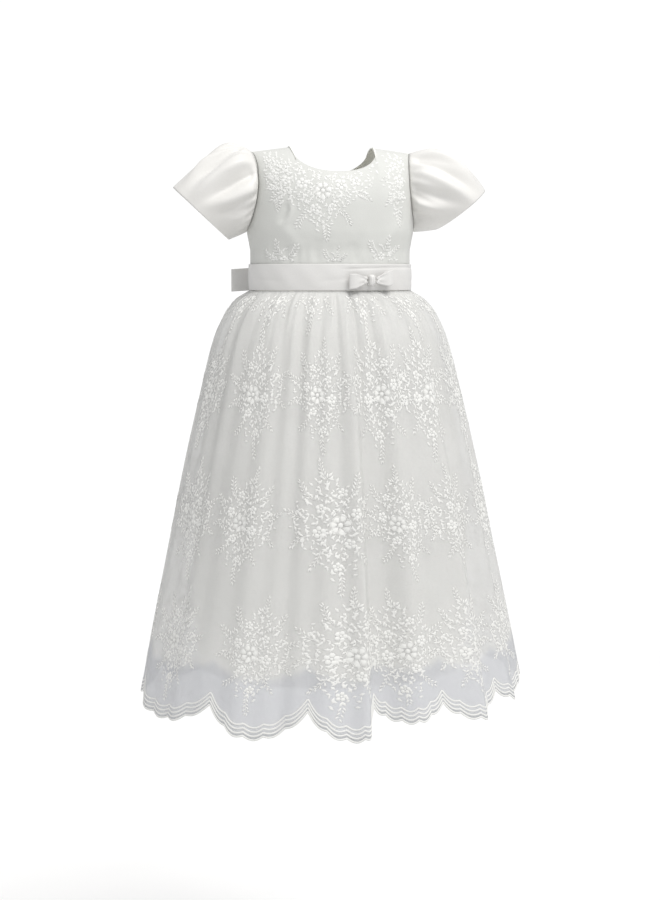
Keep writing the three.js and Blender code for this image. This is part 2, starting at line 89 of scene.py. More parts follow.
@dataclass(frozen=True)
class SizeTable:
    """Rows of sizes, read along a smooth curve that doesn't overshoot.

    Args:
        names: Column names, the first one being the key.
        rows: One row of sizes for each value of the key, in rising order.
    """

    names: tuple[str, ...]
    rows: tuple[tuple[float, ...], ...]

    def column(self, name: str) -> Array:
        """All values of one column."""
        place = self.names.index(name)
        return np.array([row[place] for row in self.rows], dtype=float)

    def read(self, name: str, at: Array) -> Array:
        """Reads a column at values of the key.

        Args:
            name: Column to read.
            at: Values of the key.

        Returns:
            The column's values there.
        """
        keys, values = self.column(self.names[0]), self.column(name)
        step = np.diff(keys)
        rise = np.diff(values) / step
        slope = np.empty_like(values)
        slope[0], slope[-1] = rise[0], rise[-1]
        total = rise[:-1] + rise[1:]
        both = rise[:-1] * rise[1:]
        slope[1:-1] = np.where(both > 0, 2 * both / np.where(total == 0, 1, total), 0)
        at = np.asarray(at, dtype=float)
        low = np.clip(np.searchsorted(keys, at) - 1, 0, len(step) - 1)
        share = (at - keys[low]) / step[low]
        held = np.clip(share, 0, 1)
        curve = mix(values[low], values[low + 1], held**2 * (3 - 2 * held))
        curve = curve + step[low] * held * (1 - held) ** 2 * slope[low]
        curve = curve + step[low] * held**2 * (held - 1) * slope[low + 1]
        beyond = np.minimum(share, 0) * slope[low] + np.maximum(share - 1, 0) * slope[low + 1]
        return curve + step[low] * beyond


def stepped(ends: Sequence[float], counts: Sequence[int]) -> Array:
    """Rising values with a spacing of their own in each stretch.

    Args:
        ends: Where the stretches start and end.
        counts: Number of values in each stretch, both its ends included.

    Returns:
        The values, with each shared end once.
    """
    runs = [np.linspace(*stretch) for stretch in zip(ends, ends[1:], counts)]
    return np.concatenate([runs[0], *(run[1:] for run in runs[1:])])


def points_of(x: Array, y: Array, z: Array) -> Array:
    """Points from three arrays of coordinates."""
    return np.stack(np.broadcast_arrays(x, y, z), axis=-1).astype(float)


def oval(degrees: Array, half_width: Array, front: Array, back: Array, z: Array) -> Array:
    """Points of a rounded oval ring.

    Args:
        degrees: Angle from the front centre towards the wearer's left.
        half_width: Half the ring's width.
        front: Depth in front of the axis.
        back: Depth behind the axis.
        z: Height.

    Returns:
        The points, in millimetres.
    """
    turn = np.radians(degrees)
    sine, cosine = np.sin(turn), np.cos(turn)
    scale = (np.abs(sine) ** BODY_ROUNDNESS + np.abs(cosine) ** BODY_ROUNDNESS) ** (-1 / BODY_ROUNDNESS)
    return points_of(scale * half_width * sine, -scale * np.where(cosine > 0, front, back) * cosine, z)


def unit(vectors: Array) -> Array:
    """Vectors of length 1 in the same directions."""
    return vectors / np.maximum(np.linalg.norm(vectors, axis=-1, keepdims=True), 1e-9)


def normals_of(surface: Surface, u: Array, v: Array, u_step: float, v_step: float) -> Array:
    """Unit normals of a surface, right-handed about its two directions."""
    along_u = surface(u + u_step, v) - surface(u - u_step, v)
    along_v = surface(u, v + v_step) - surface(u, v - v_step)
    return unit(np.cross(along_u, along_v))


def make_piece(name: str, points: Array, faces: Array, corner_uv: Array) -> bpy.types.Object:
    """Makes a closed piece whose faces point outwards.

    Args:
        name: The piece's name.
        points: Its points, in millimetres.
        faces: Corner indices, one row for each face.
        corner_uv: Cloth coordinates in metres for each face's corners.

    Returns:
        The new object, at the origin.
    """
    first = points[faces[:, 0]]
    volume = 0.0
    for corner in range(1, faces.shape[1] - 1):
        cross = np.cross(points[faces[:, corner]], points[faces[:, corner + 1]])
        volume += float(np.einsum("ij,ij->", first, cross))
    if volume < 0:
        faces, corner_uv = faces[:, ::-1], corner_uv[:, ::-1]
    mesh = bpy.data.meshes.new(name)
    mesh.from_pydata((points * MILLIMETRE).tolist(), [], faces.tolist())
    layer = mesh.uv_layers.new(name="cloth")
    layer.uv.foreach_set("vector", np.ascontiguousarray(corner_uv, dtype=np.float32).ravel())
    mesh.polygons.foreach_set("use_smooth", np.ones(len(mesh.polygons), dtype=bool))
    mesh.update()
    piece = bpy.data.objects.new(name, mesh)
    bpy.context.scene.collection.objects.link(piece)
    return piece


@dataclass
class ClothShell:
    """Thin closed cloth wall on a surface of two directions.

    Args:
        surface: The cloth's outside.
        us: Values of the first direction.
        vs: Values of the second direction.
        thickness: The wall's thickness, in millimetres.
        outward: 1 where the outside is on the surface's own normal, or -1.
        joined: True where the cloth closes on itself along the first direction.
        uv_scale: Metres of cloth for one unit of each direction.
        lined: True where the inside has a finish of its own.
    """

    surface: Surface
    us: Array
    vs: Array
    thickness: float
    outward: int = 1
    joined: bool = False
    uv_scale: tuple[float, float] = (1.0, 1.0)
    lined: bool = False

    def build(self, name: str) -> bpy.types.Object:
        """Makes the wall as one piece."""
        us, vs = np.asarray(self.us, dtype=float), np.asarray(self.vs, dtype=float)
        columns = len(us) - 1 if self.joined else len(us)
        rows = len(vs)
        grid_u, grid_v = np.meshgrid(us[:columns], vs, indexing="ij")
        u_step, v_step = (us[-1] - us[0]) * 5e-4, (vs[-1] - vs[0]) * 5e-4
        face = self.surface(grid_u, grid_v)
        normal = normals_of(self.surface, grid_u, grid_v, u_step, v_step)
        back = face - self.outward * self.thickness * normal
        points = np.concatenate([face.reshape(-1, 3), back.reshape(-1, 3)])
        quads, uvs = [], []

        def add(corners: Iterable[tuple[Array, Array, int]]) -> None:
            """Adds a block of quads by the column, row and layer of their corners."""
            index, place = [], []
            for column, row, layer in corners:
                index.append((layer * columns * rows + (column % columns) * rows + row).ravel())
                place.append(np.stack([us[column].ravel() * self.uv_scale[0],
                                       vs[row].ravel() * self.uv_scale[1]], axis=-1))
            quads.append(np.stack(index, axis=-1))
            uvs.append(np.stack(place, axis=1))

        i, j = np.meshgrid(np.arange(len(us) - 1), np.arange(rows - 1), indexing="ij")
        add([(i, j, 0), (i + 1, j, 0), (i + 1, j + 1, 0), (i, j + 1, 0)])
        add([(i, j, 1), (i, j + 1, 1), (i + 1, j + 1, 1), (i + 1, j, 1)])
        i, low = np.arange(len(us) - 1), np.zeros(len(us) - 1, dtype=int)
        top = low + rows - 1
        add([(i, low, 0), (i, low, 1), (i + 1, low, 1), (i + 1, low, 0)])
        add([(i, top, 0), (i + 1, top, 0), (i + 1, top, 1), (i, top, 1)])
        if not self.joined:
            j, first = np.arange(rows - 1), np.zeros(rows - 1, dtype=int)
            last = first + len(us) - 1
            add([(first, j, 0), (first, j + 1, 0), (first, j + 1, 1), (first, j, 1)])
            add([(last, j, 0), (last, j, 1), (last, j + 1, 1), (last, j + 1, 0)])
        piece = make_piece(name, points, np.concatenate(quads), np.concatenate(uvs))
        if self.lined:
            inside = np.zeros(len(piece.data.polygons), dtype=np.int32)
            inside[len(quads[0]):2 * len(quads[0])] = 1
            piece.data.materials.append(None)
            piece.data.materials.append(None)
            piece.data.polygons.foreach_set("material_index", inside)
        return piece


class NodeDesk:
    """Lays out a material's shader nodes.

    Args:
        name: The material's name.
    """

    def __init__(self, name: str) -> None:
        """Starts an empty material with its output node."""
        self.material = bpy.data.materials.new(name)
        self.material.use_nodes = True
        self.tree = self.material.node_tree
        self.tree.nodes.clear()
        self.output = self.add("ShaderNodeOutputMaterial")

    def add(self, kind: str, **settings: object) -> bpy.types.Node:
        """Adds a node and sets its properties."""
        node = self.tree.nodes.new(kind)
        for key, value in settings.items():
            setattr(node, key, value)
        return node

    def link(self, source: bpy.types.NodeSocket, target: bpy.types.NodeSocket) -> None:
        """Joins two sockets."""
        self.tree.links.new(source, target)

    def coordinates(self, scale: float, use_uv: bool) -> bpy.types.NodeSocket:
        """Cloth or object coordinates, scaled."""
        place = self.add("ShaderNodeTexCoord")
        mapping = self.add("ShaderNodeMapping")
        mapping.inputs["Scale"].default_value = (scale, scale, scale)
        self.link(place.outputs["UV" if use_uv else "Object"], mapping.inputs["Vector"])
        return mapping.outputs["Vector"]

    def noise(self, vector: bpy.types.NodeSocket, scale: float, detail: float = 3.0) -> bpy.types.NodeSocket:
        """Soft noise on coordinates."""
        node = self.add("ShaderNodeTexNoise")
        node.inputs["Scale"].default_value = scale
        node.inputs["Detail"].default_value = detail
        self.link(vector, node.inputs["Vector"])
        return node.outputs["Fac"]

    def wave(self, vector: bpy.types.NodeSocket, direction: str) -> bpy.types.NodeSocket:
        """Even ribs along a direction, one for each unit of the coordinates."""
        node = self.add("ShaderNodeTexWave", wave_type="BANDS", bands_direction=direction)
        node.inputs["Scale"].default_value = 0.314
        node.inputs["Distortion"].default_value = 0.6
        self.link(vector, node.inputs["Vector"])
        return node.outputs["Fac"]

    def spread(self, value: bpy.types.NodeSocket, low: float, high: float) -> bpy.types.NodeSocket:
        """A 0 to 1 value spread over a range."""
        node = self.add("ShaderNodeMapRange")
        node.inputs["To Min"].default_value = low
        node.inputs["To Max"].default_value = high
        self.link(value, node.inputs["Value"])
        return node.outputs["Result"]

    def ramp(self, value: bpy.types.NodeSocket, dark: Colour, light: Colour,
             ends: tuple[float, float] = (0.3, 0.7)) -> bpy.types.NodeSocket:
        """A colour between two shades."""
        node = self.add("ShaderNodeValToRGB")
        for element, place, colour in zip(node.color_ramp.elements, ends, (dark, light)):
            element.position = place
            element.color = (*colour, 1.0)
        self.link(value, node.inputs["Fac"])
        return node.outputs["Color"]

    def maths(self, kind: str, first: bpy.types.NodeSocket, second: object) -> bpy.types.NodeSocket:
        """Arithmetic on a value with a second value or socket."""
        node = self.add("ShaderNodeMath", operation=kind)
        self.link(first, node.inputs[0])
        if isinstance(second, bpy.types.NodeSocket):
            self.link(second, node.inputs[1])
        else:
            node.inputs[1].default_value = second
        return node.outputs["Value"]

    def cloth(self, rough: float, sheen: float, specular: float) -> bpy.types.Node:
        """The cloth's main shader."""
        shader = self.add("ShaderNodeBsdfPrincipled")
        shader.inputs["Roughness"].default_value = rough
        shader.inputs["Sheen Weight"].default_value = sheen
        shader.inputs["Sheen Roughness"].default_value = 0.45
        shader.inputs["Specular IOR Level"].default_value = specular
        self.link(shader.outputs["BSDF"], self.output.inputs["Surface"])
        return shader

    def raise_by(self, shader: bpy.types.Node, height: bpy.types.NodeSocket, depth_mm: float) -> None:
        """Gives a shader fine relief."""
        node = self.add("ShaderNodeBump")
        node.inputs["Strength"].default_value = 1.0
        node.inputs["Distance"].default_value = depth_mm * MILLIMETRE
        self.link(height, node.inputs["Height"])
        self.link(node.outputs["Normal"], shader.inputs["Normal"])


@dataclass(frozen=True)
class WovenFinish:
    """Opaque woven cloth with a fine weave, a soft sheen and slightly uneven shade.

    Args:
        name: The finish's name.
        dark: Shade in its duller places.
        light: Shade in its brighter places.
        rough: Roughness.
        sheen: Strength of the soft sheen.
        thread_mm: Distance between threads.
        relief_mm: Height of the weave.
        specular: Strength of the gloss.
    """

    name: str
    dark: Colour
    light: Colour
    rough: float
    sheen: float
    thread_mm: float
    relief_mm: float
    specular: float = 0.3

    def material(self) -> bpy.types.Material:
        """Makes the material."""
        desk = NodeDesk(self.name)
        shader = desk.cloth(self.rough, self.sheen, self.specular)
        broad = desk.coordinates(1.0, use_uv=False)
        fine = desk.coordinates(1000.0 / self.thread_mm, use_uv=True)
        cloudy = desk.noise(broad, 28.0)
        slubs = desk.noise(desk.coordinates(1.0, use_uv=True), 700.0, 2.0)
        shade = desk.maths("ADD", desk.maths("MULTIPLY", cloudy, 0.6), desk.spread(slubs, 0.0, 0.4))
        desk.link(desk.ramp(shade, self.dark, self.light), shader.inputs["Base Color"])
        desk.link(desk.spread(cloudy, self.rough - 0.06, self.rough + 0.06), shader.inputs["Roughness"])
        weave = desk.maths("MULTIPLY", desk.wave(fine, "X"), desk.wave(fine, "Y"))
        desk.raise_by(shader, desk.maths("ADD", weave, slubs), self.relief_mm)
        return desk.material


@dataclass(frozen=True)
class NetFinish:
    """Fine see-through net of round meshes.

    Args:
        name: The finish's name.
        shade: Colour of its thread.
        hem_painted_shade: Darker, bluer colour near the hem, where no lining lies behind the net, painted as the
            shade of the skirt's shaded inside seen through it.
        hem_at: Way down the cloth at which that begins, in metres.
        mesh_mm: Width of one mesh.
        open_cover: How far the open part of a mesh covers what's behind.
        thread_cover: How far the thread covers what's behind.
    """

    name: str
    shade: Colour
    hem_painted_shade: Colour
    hem_at: float
    mesh_mm: float
    open_cover: float
    thread_cover: float

    def material(self) -> bpy.types.Material:
        """Makes the material."""
        desk = NodeDesk(self.name)
        shader = desk.cloth(0.6, 0.15, 0.2)
        fine = desk.coordinates(1000.0 / self.mesh_mm, use_uv=True)
        cells = desk.add("ShaderNodeTexVoronoi", feature="DISTANCE_TO_EDGE", voronoi_dimensions="2D")
        cells.inputs["Scale"].default_value = 1.0
        cells.inputs["Randomness"].default_value = 0.9
        desk.link(fine, cells.inputs["Vector"])
        thread = desk.add("ShaderNodeMapRange", interpolation_type="SMOOTHSTEP")
        thread.inputs["From Min"].default_value = 0.08
        thread.inputs["From Max"].default_value = 0.26
        thread.inputs["To Min"].default_value = self.thread_cover
        thread.inputs["To Max"].default_value = self.open_cover
        desk.link(cells.outputs["Distance"], thread.inputs["Value"])
        cloudy = desk.noise(desk.coordinates(1.0, use_uv=False), 30.0)
        cover = desk.maths("MULTIPLY", thread.outputs["Result"], desk.spread(cloudy, 0.9, 1.1))
        place = desk.add("ShaderNodeSeparateXYZ")
        desk.link(desk.coordinates(1.0, use_uv=True), place.inputs["Vector"])
        # Painted shade: from hem_at down, the net turns darker and bluer and covers more, standing in for the
        # skirt's shaded inside seen through it.
        below = desk.add("ShaderNodeMapRange", interpolation_type="SMOOTHSTEP")
        below.inputs["From Min"].default_value = self.hem_at
        below.inputs["From Max"].default_value = self.hem_at + 0.012
        desk.link(place.outputs["Y"], below.inputs["Value"])
        painted_shade_mask = below.outputs["Result"]
        # The denser cover and the darker, bluer colour near the hem are painted shade.
        desk.link(desk.maths("MULTIPLY", cover, desk.spread(painted_shade_mask, 1.0, 1.35)), shader.inputs["Alpha"])
        painted_shade_share = desk.maths("SUBTRACT", painted_shade_mask, desk.spread(cloudy, 0.0, 0.2))
        desk.link(desk.ramp(painted_shade_share, self.shade, self.hem_painted_shade, (0.0, 1.0)), shader.inputs["Base Color"])
        desk.raise_by(shader, cells.outputs["Distance"], 0.1)
        return desk.material


@dataclass(frozen=True)
class ThreadFinish:
    """Raised embroidery of close satin stitches.

    Args:
        name: The finish's name.
        dark: Colour between the stitches, darkened there as painted shade in the grooves.
        light: Colour on the stitches, lightened there as a painted highlight on their raised tops.
        stitch_mm: Distance between stitches.
    """

    name: str
    dark: Colour
    light: Colour
    stitch_mm: float

    def material(self) -> bpy.types.Material:
        """Makes the material."""
        desk = NodeDesk(self.name)
        shader = desk.cloth(0.48, 0.2, 0.35)
        stitches = desk.wave(desk.coordinates(1000.0 / self.stitch_mm, use_uv=True), "X")
        loose = desk.noise(desk.coordinates(1.0, use_uv=False), 900.0, 2.0)
        # The colour follows the stitch ribs that also make the relief: painted shade between the stitches and a
        # painted highlight on them, with random unevenness.
        shade = desk.maths("MULTIPLY", desk.maths("ADD", stitches, loose), 0.6)
        desk.link(desk.ramp(shade, self.dark, self.light, (0.15, 0.75)), shader.inputs["Base Color"])
        desk.raise_by(shader, stitches, 0.05)
        return desk.material


Finish = WovenFinish | NetFinish | ThreadFinish
SLEEVE_SATIN = WovenFinish("sleeve_satin", (0.70, 0.69, 0.665), (0.76, 0.75, 0.73), 0.44, 0.2, 0.5, 0.02)
SASH_SATIN = WovenFinish("sash_satin", (0.675, 0.665, 0.65), (0.73, 0.725, 0.71), 0.36, 0.15, 0.45, 0.015, 0.4)
BODICE_NET = WovenFinish("bodice_net_on_satin", (0.60, 0.605, 0.58), (0.66, 0.665, 0.64), 0.58, 0.15, 1.2, 0.05)
LINING_SATIN = WovenFinish("lining_satin", (0.85, 0.845, 0.785), (0.90, 0.895, 0.84), 0.5, 0.15, 0.5, 0.02)
# The net's second colour is painted shade near the hem.
SKIRT_NET = NetFinish("skirt_net", (0.775, 0.775, 0.765), (0.60, 0.61, 0.635), 0.369, 1.3, 0.40, 0.58)
# The thread's two colours are painted shade between the stitches and a painted highlight on them.
WHITE_THREAD = ThreadFinish("white_embroidery_thread", (0.73, 0.73, 0.71), (0.80, 0.80, 0.78), 0.7)


class Workshop:
    """Finishes made once each, and the calls that put a piece on the gown."""

    def __init__(self) -> None:
        """Starts with no finish made."""
        self.made: dict[str, bpy.types.Material] = {}

    def finish(self, finish: Finish) -> bpy.types.Material:
        """The material of a finish."""
        if finish.name not in self.made:
            self.made[finish.name] = finish.material()
        return self.made[finish.name]

    def dress(self, piece: bpy.types.Object, finish: Finish, slot: Slot, nodes: Sequence[str] = (),
              inside: Finish | None = None) -> None:
        """Gives a piece its finish and its place on the gown.

        Args:
            piece: The piece.
            finish: Its finish.
            slot: The record's material slot; not used.
            nodes: Solids that the piece stands for.
            inside: Finish of a lined piece's inside.
        """
        if inside is None:
            piece.data.materials.append(self.finish(finish))
        else:
            piece.data.materials[0] = self.finish(finish)
            piece.data.materials[1] = self.finish(inside)
        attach(piece, "root")
        if nodes:
            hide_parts(*nodes)
        log.info("%s: %d faces", piece.name, len(piece.data.polygons))


@dataclass
class BodiceForm:
    """Shape of the bodice, in millimetres, on a general figure."""

    chest_z: float = -62.0
    chest_half_width: float = 87.0
    chest_front: float = 65.0
    chest_back: float = 59.0
    shoulder_length: float = 40.0
    shoulder_fall: float = 6.0
    shoulder_arc: float = 98.0
    neck_half_width: float = 44.0
    neck_share: float = 0.66
    neck_roundness: float = 2.25
    waist_z: float = -147.0
    seam_gap: float = 0.3
    front_neck_drop: float = 27.0
    back_neck_drop: float = 25.0
    sections: SizeTable = SizeTable(
        ("z", "half_width", "front", "back"),
        (
            (-147, 83.2, 63.0, 60.0),
            (-108, 83.2, 63.0, 60.0),
            (-98, 84.6, 64.2, 60.2),
            (-86, 86.6, 65.2, 60.0),
            (-62, 87.0, 65.0, 59.0),
        ),
    )
    armhole: SizeTable = SizeTable(
        ("rise", "front", "back"),
        (
            (-24, 90.0, 90.0),
            (-17, 78.0, 79.0),
            (-5, 69.0, 70.5),
            (11, 63.5, 66.0),
            (27, 61.5, 64.5),
            (43, 61.5, 64.5),
            (61, 63.5, 66.0),
            (80, 67.0, 68.0),
            (98, 71.0, 71.0),
        ),
    )

    @property
    def low_rise(self) -> float:
        """Way up to the waist seam, less than 0 because it lies under the chest line."""
        return self.waist_z - self.chest_z

    @property
    def underarm(self) -> float:
        """Way up to the armhole's foot."""
        return self.armhole.rows[0][0]

    def neck_drop(self, side: str) -> float:
        """Depth of the neck at the centre of the front or back."""
        return self.back_neck_drop if side == "back" else self.front_neck_drop

    def point(self, degrees: Array, rise: Array) -> Array:
        """Outside of the bodice.

        Args:
            degrees: Angle from the front centre towards the wearer's left.
            rise: Way up the body from the chest line, over the shoulder to its top.

        Returns:
            The points.
        """
        degrees, rise = np.broadcast_arrays(np.asarray(degrees, float), np.asarray(rise, float))
        low_z = self.chest_z + np.minimum(rise, 0)
        below = oval(degrees, self.sections.read("half_width", low_z), self.sections.read("front", low_z),
                     self.sections.read("back", low_z), low_z)
        turn = np.clip(rise, 0, None) / self.shoulder_arc * (math.pi / 2)
        above = oval(degrees, self.chest_half_width, self.chest_front * np.cos(turn),
                     self.chest_back * np.cos(turn), 0.0)
        outward = np.maximum(0, np.abs(above[..., 0]) - self.neck_half_width) / self.shoulder_length
        fall = self.shoulder_fall * outward * (np.clip(rise, 0, None) / self.shoulder_arc) ** 2
        above[..., 2] = self.chest_z - self.chest_z * np.sin(turn) - fall
        return np.where((rise <= 0)[..., None], below, above)

    def angle_at(self, x: Array, half_width: Array) -> Array:
        """Angle at which a ring reaches a place sideways."""
        angles = np.linspace(0, 90, 361)
        reach = oval(angles, 1, 1, 1, 0)[..., 0]
        return np.interp(np.abs(x) / half_width, reach, angles) * np.sign(x)

    def rise_at(self, z: Array) -> Array:
        """Way up the body to a height over the chest line, where the shoulder doesn't fall yet."""
        sine = np.clip((z - self.chest_z) / -self.chest_z, 0, 1)
        return np.arcsin(sine) / (math.pi / 2) * self.shoulder_arc

    def upper_edge(self, reach: Array, side: str) -> tuple[Array, Array]:
        """Neck curve from the centre, and then the shoulder seam, by its length.

        Args:
            reach: 0 at the centre, 1 at the armhole.
            side: Front or back.

        Returns:
            The edge's angle and rise there.
        """
        turn = np.linspace(0, math.pi / 2, 240)
        x = self.neck_half_width * np.sin(turn) ** (2 / self.neck_roundness)
        z = -self.neck_drop(side) * np.cos(turn) ** (2 / self.neck_roundness)
        angle, rise = self.angle_at(x, self.chest_half_width), self.rise_at(z)
        steps = np.linalg.norm(np.diff(self.point(angle, rise), axis=0), axis=1)
        way = np.concatenate([[0], np.cumsum(steps)]) / np.sum(steps) * self.neck_share
        shoulder = float(self.armhole.column(side)[-1])
        beyond = np.maximum(0, reach - self.neck_share) / (1 - self.neck_share)
        return np.interp(reach, way, angle) + beyond * (shoulder - angle[-1]), np.interp(reach, way, rise)

    def on_side(self, side: str, angle: Array, rise: Array) -> Array:
        """Point of the front or back, clear of the other by the seam's gap."""
        back = side == "back"
        found = self.point(180 - angle if back else angle, rise)
        found[..., 1] += self.seam_gap / 2 if back else -self.seam_gap / 2
        return found

    def panel(self, side: str) -> Surface:
        """Surface of the front or back panel, across from -1 to 1 and by the way up its sides."""
        shoulder = float(self.armhole.column(side)[-1])
        low = self.low_rise

        def surface(across: Array, side_rise: Array) -> Array:
            """Points of the panel."""
            reach = np.abs(across)
            top_angle, top_rise = self.upper_edge(reach, side)
            share = (side_rise - low) / (self.shoulder_arc - low)
            edge = np.where(side_rise <= self.underarm, 90.0, self.armhole.read(side, side_rise))
            angle = np.sign(across) * mix(reach, top_angle / shoulder, smooth(share)) * edge
            return self.on_side(side, angle, mix(low, top_rise, share))

        return surface

    def on_panel(self, side: str, x: Array, z: Array) -> Array:
        """Point of the front or back under a place in front view."""
        degrees = self.angle_at(x, self.sections.read("half_width", np.minimum(z, self.chest_z)))
        rise = np.where(z <= self.chest_z, z - self.chest_z, self.rise_at(z))
        return self.on_side(side, degrees, rise)

    def armhole_point(self, turn: Array, side: int) -> Array:
        """Armhole edge, from the shoulder at 0 down the front to the underarm at 0.5 and up behind."""
        place = np.abs(1 - 2 * turn) * (len(self.armhole.rows) - 1)
        rise = np.interp(place, np.arange(len(self.armhole.rows)), self.armhole.column("rise"))
        across = np.full_like(rise, float(side))
        front, back = self.panel("front")(across, rise), self.panel("back")(across, rise)
        return np.where((turn <= 0.5)[..., None], front, back)


@dataclass(frozen=True)
class Crease:
    """Soft trough or ridge on the bodice, by its ends in front view, in millimetres.

    Args:
        start: Sideways place and height of one end.
        end: Sideways place and height of the other end.
        bow: How far its middle bends aside.
        width: Its half width.
        height: Its height, less than 0 for a trough.
    """

    start: tuple[float, float]
    end: tuple[float, float]
    bow: float
    width: float
    height: float

    def at(self, x: Array, z: Array) -> Array:
        """Height of the crease at places in front view."""
        run = np.subtract(self.end, self.start)
        length = float(np.hypot(*run))
        along = ((x - self.start[0]) * run[0] + (z - self.start[1]) * run[1]) / length**2
        aside = ((x - self.start[0]) * run[1] - (z - self.start[1]) * run[0]) / length
        aside = aside - self.bow * 4 * along * (1 - along)
        fade = smooth(along / 0.25) * smooth((1 - along) / 0.35)
        return self.height * bump(aside, self.width) * fade


BODICE_CREASES = (
    Crease((-52, -57), (-62, -82), -3, 2.6, -1.6),
    Crease((-48, -58), (-58, -84), -3, 2.6, 1.2),
    Crease((62, -52), (70, -82), 3, 3.0, -1.3),
    Crease((-66, -70), (-30, -112), 2, 5.0, 0.9),
    Crease((66, -74), (34, -114), -2, 5.0, 0.8),
    Crease((-20, -92), (-24, -122), 1, 5.0, -0.7),
    Crease((12, -96), (16, -122), 1, 5.0, -0.7),
    Crease((44, -98), (42, -122), 1, 4.0, -0.7),
    Crease((-52, -100), (-50, -122), 1, 4.0, -0.7),
)


class Bodice:
    """Front panel and two back halves of the bodice."""

    wall: float = 1.0
    closing: float = 0.0016
    cloth_scale: tuple[float, float] = (0.12, 0.001)
    front_width: float = 0.25
    back_width: float = 0.125
    cut_height: float = 0.19
    cut_share: float = 0.8

    def __init__(self, form: BodiceForm) -> None:
        """Takes the bodice's shape."""
        self.form = form
        self.pieces: dict[str, bpy.types.Object] = {}

    def relief(self, side: str, plain: Array) -> Array:
        """Outward push of the creases, and of the puckers over the sash, at points of a panel."""
        x, z = plain[..., 0], plain[..., 2]
        height = sum(crease.at(-x if side == "back" else x, z) for crease in BODICE_CREASES)
        pucker = 0.4 * np.sin(x * 0.62 + 0.8 * np.sin(x * 0.17)) * bump(z + 112, 9.0)
        lift = (height + pucker) * smooth((z + 122) / 6) * smooth((80 - np.abs(x)) / 9)
        return unit(points_of(x * 0.55, plain[..., 1], 0 * z)) * lift[..., None]

    def creased(self, side: str) -> Surface:
        """Panel surface with its creases and puckers, plain along its seams."""
        plain = self.form.panel(side)

        def surface(across: Array, side_rise: Array) -> Array:
            """Points of the creased panel."""
            found = plain(across, side_rise)
            free = smooth((1 - np.abs(across)) / 0.06) * smooth((self.form.shoulder_arc - side_rise) / 12)
            return found + self.relief(side, found) * free[..., None]

        return surface

    def skin(self, side: str) -> Surface:
        """Creased panel under places in front view."""

        def surface(x: Array, z: Array) -> Array:
            """Points of the creased panel."""
            found = self.form.on_panel(side, x, z)
            return found + self.relief(side, found)

        return surface

    def build(self) -> None:
        """Makes the three panels."""
        form = self.form
        rises = stepped((form.low_rise, form.underarm, form.shoulder_arc), (30, 62))
        half = stepped((0, form.neck_share, 1), (38, 22))
        back = np.concatenate([[self.closing], half[1:]])
        columns = {
            "bodice_front": np.concatenate([-half[:0:-1], half]),
            "bodice_back_left": back,
            "bodice_back_right": -back[::-1],
        }
        for name, across in columns.items():
            side, outward = ("front", 1) if name == "bodice_front" else ("back", -1)
            shell = ClothShell(self.creased(side), across, rises, self.wall, outward, uv_scale=self.cloth_scale,
                               lined=True)
            self.pieces[name] = shell.build(f"{name}_cloth")

    def dress(self, shop: Workshop) -> None:
        """Gives the panels their cloth."""
        for name, piece in self.pieces.items():
            shop.dress(piece, BODICE_NET, Slot.BODICE, [name], LINING_SATIN)


@dataclass(frozen=True)
class SleeveCut:
    """One sleeve's sizes, in millimetres.

    Args:
        node: The solid it stands for.
        side: 1 for the wearer's left, -1 for the right.
        tip: Sideways reach and height of the cuff's upper tip.
        foot: Sideways reach and height of the cuff's foot.
        half_depth: Half the cuff's depth.
        puff: How far the cloth swells.
        lean: Lower values bring the swelling nearer to the armhole.
        folds: Soft folds, as turn, reach along the sleeve, half width in turns, slant and height.
    """

    node: str
    side: int
    tip: tuple[float, float]
    foot: tuple[float, float]
    half_depth: float
    puff: float
    lean: float
    folds: tuple[tuple[float, float, float, float, float], ...]


SLEEVES = (
    SleeveCut("sleeve_right", -1, (163, -42), (106, -95), 39, 16.5, 0.46, (
        (0.05, 0.95, 0.020, 0.07, 5.0), (0.10, 0.9, 0.022, 0.06, -6.0), (0.155, 1.1, 0.028, 0.05, 6.5),
        (0.215, 0.9, 0.024, 0.02, -6.5), (0.265, 1.0, 0.026, -0.03, 5.5), (0.32, 0.85, 0.022, -0.06, -5.0),
        (0.37, 0.7, 0.022, -0.06, 3.6), (0.62, 0.9, 0.035, 0.03, 4.2), (0.72, 0.9, 0.030, 0.02, -4.6),
        (0.80, 1.0, 0.035, -0.02, 5.2), (0.89, 0.9, 0.026, -0.03, -4.6), (0.95, 0.9, 0.022, -0.03, 4.0))),
    SleeveCut("sleeve_left", 1, (164, -42), (112, -84), 38, 18, 0.72, (
        (0.045, 0.9, 0.022, 0.05, -4.6), (0.095, 1.0, 0.024, 0.06, 6.0), (0.15, 0.95, 0.022, 0.04, -6.2),
        (0.205, 1.1, 0.027, 0.01, 6.4), (0.262, 0.9, 0.023, -0.03, -6.0), (0.315, 0.9, 0.024, -0.05, 5.0),
        (0.365, 0.75, 0.022, -0.06, -3.8), (0.63, 0.9, 0.033, 0.03, -4.4), (0.71, 0.95, 0.030, 0.02, 4.8),
        (0.81, 1.0, 0.033, -0.02, -4.8), (0.89, 0.9, 0.026, -0.03, 4.4), (0.95, 0.9, 0.022, -0.02, -3.8))),
)


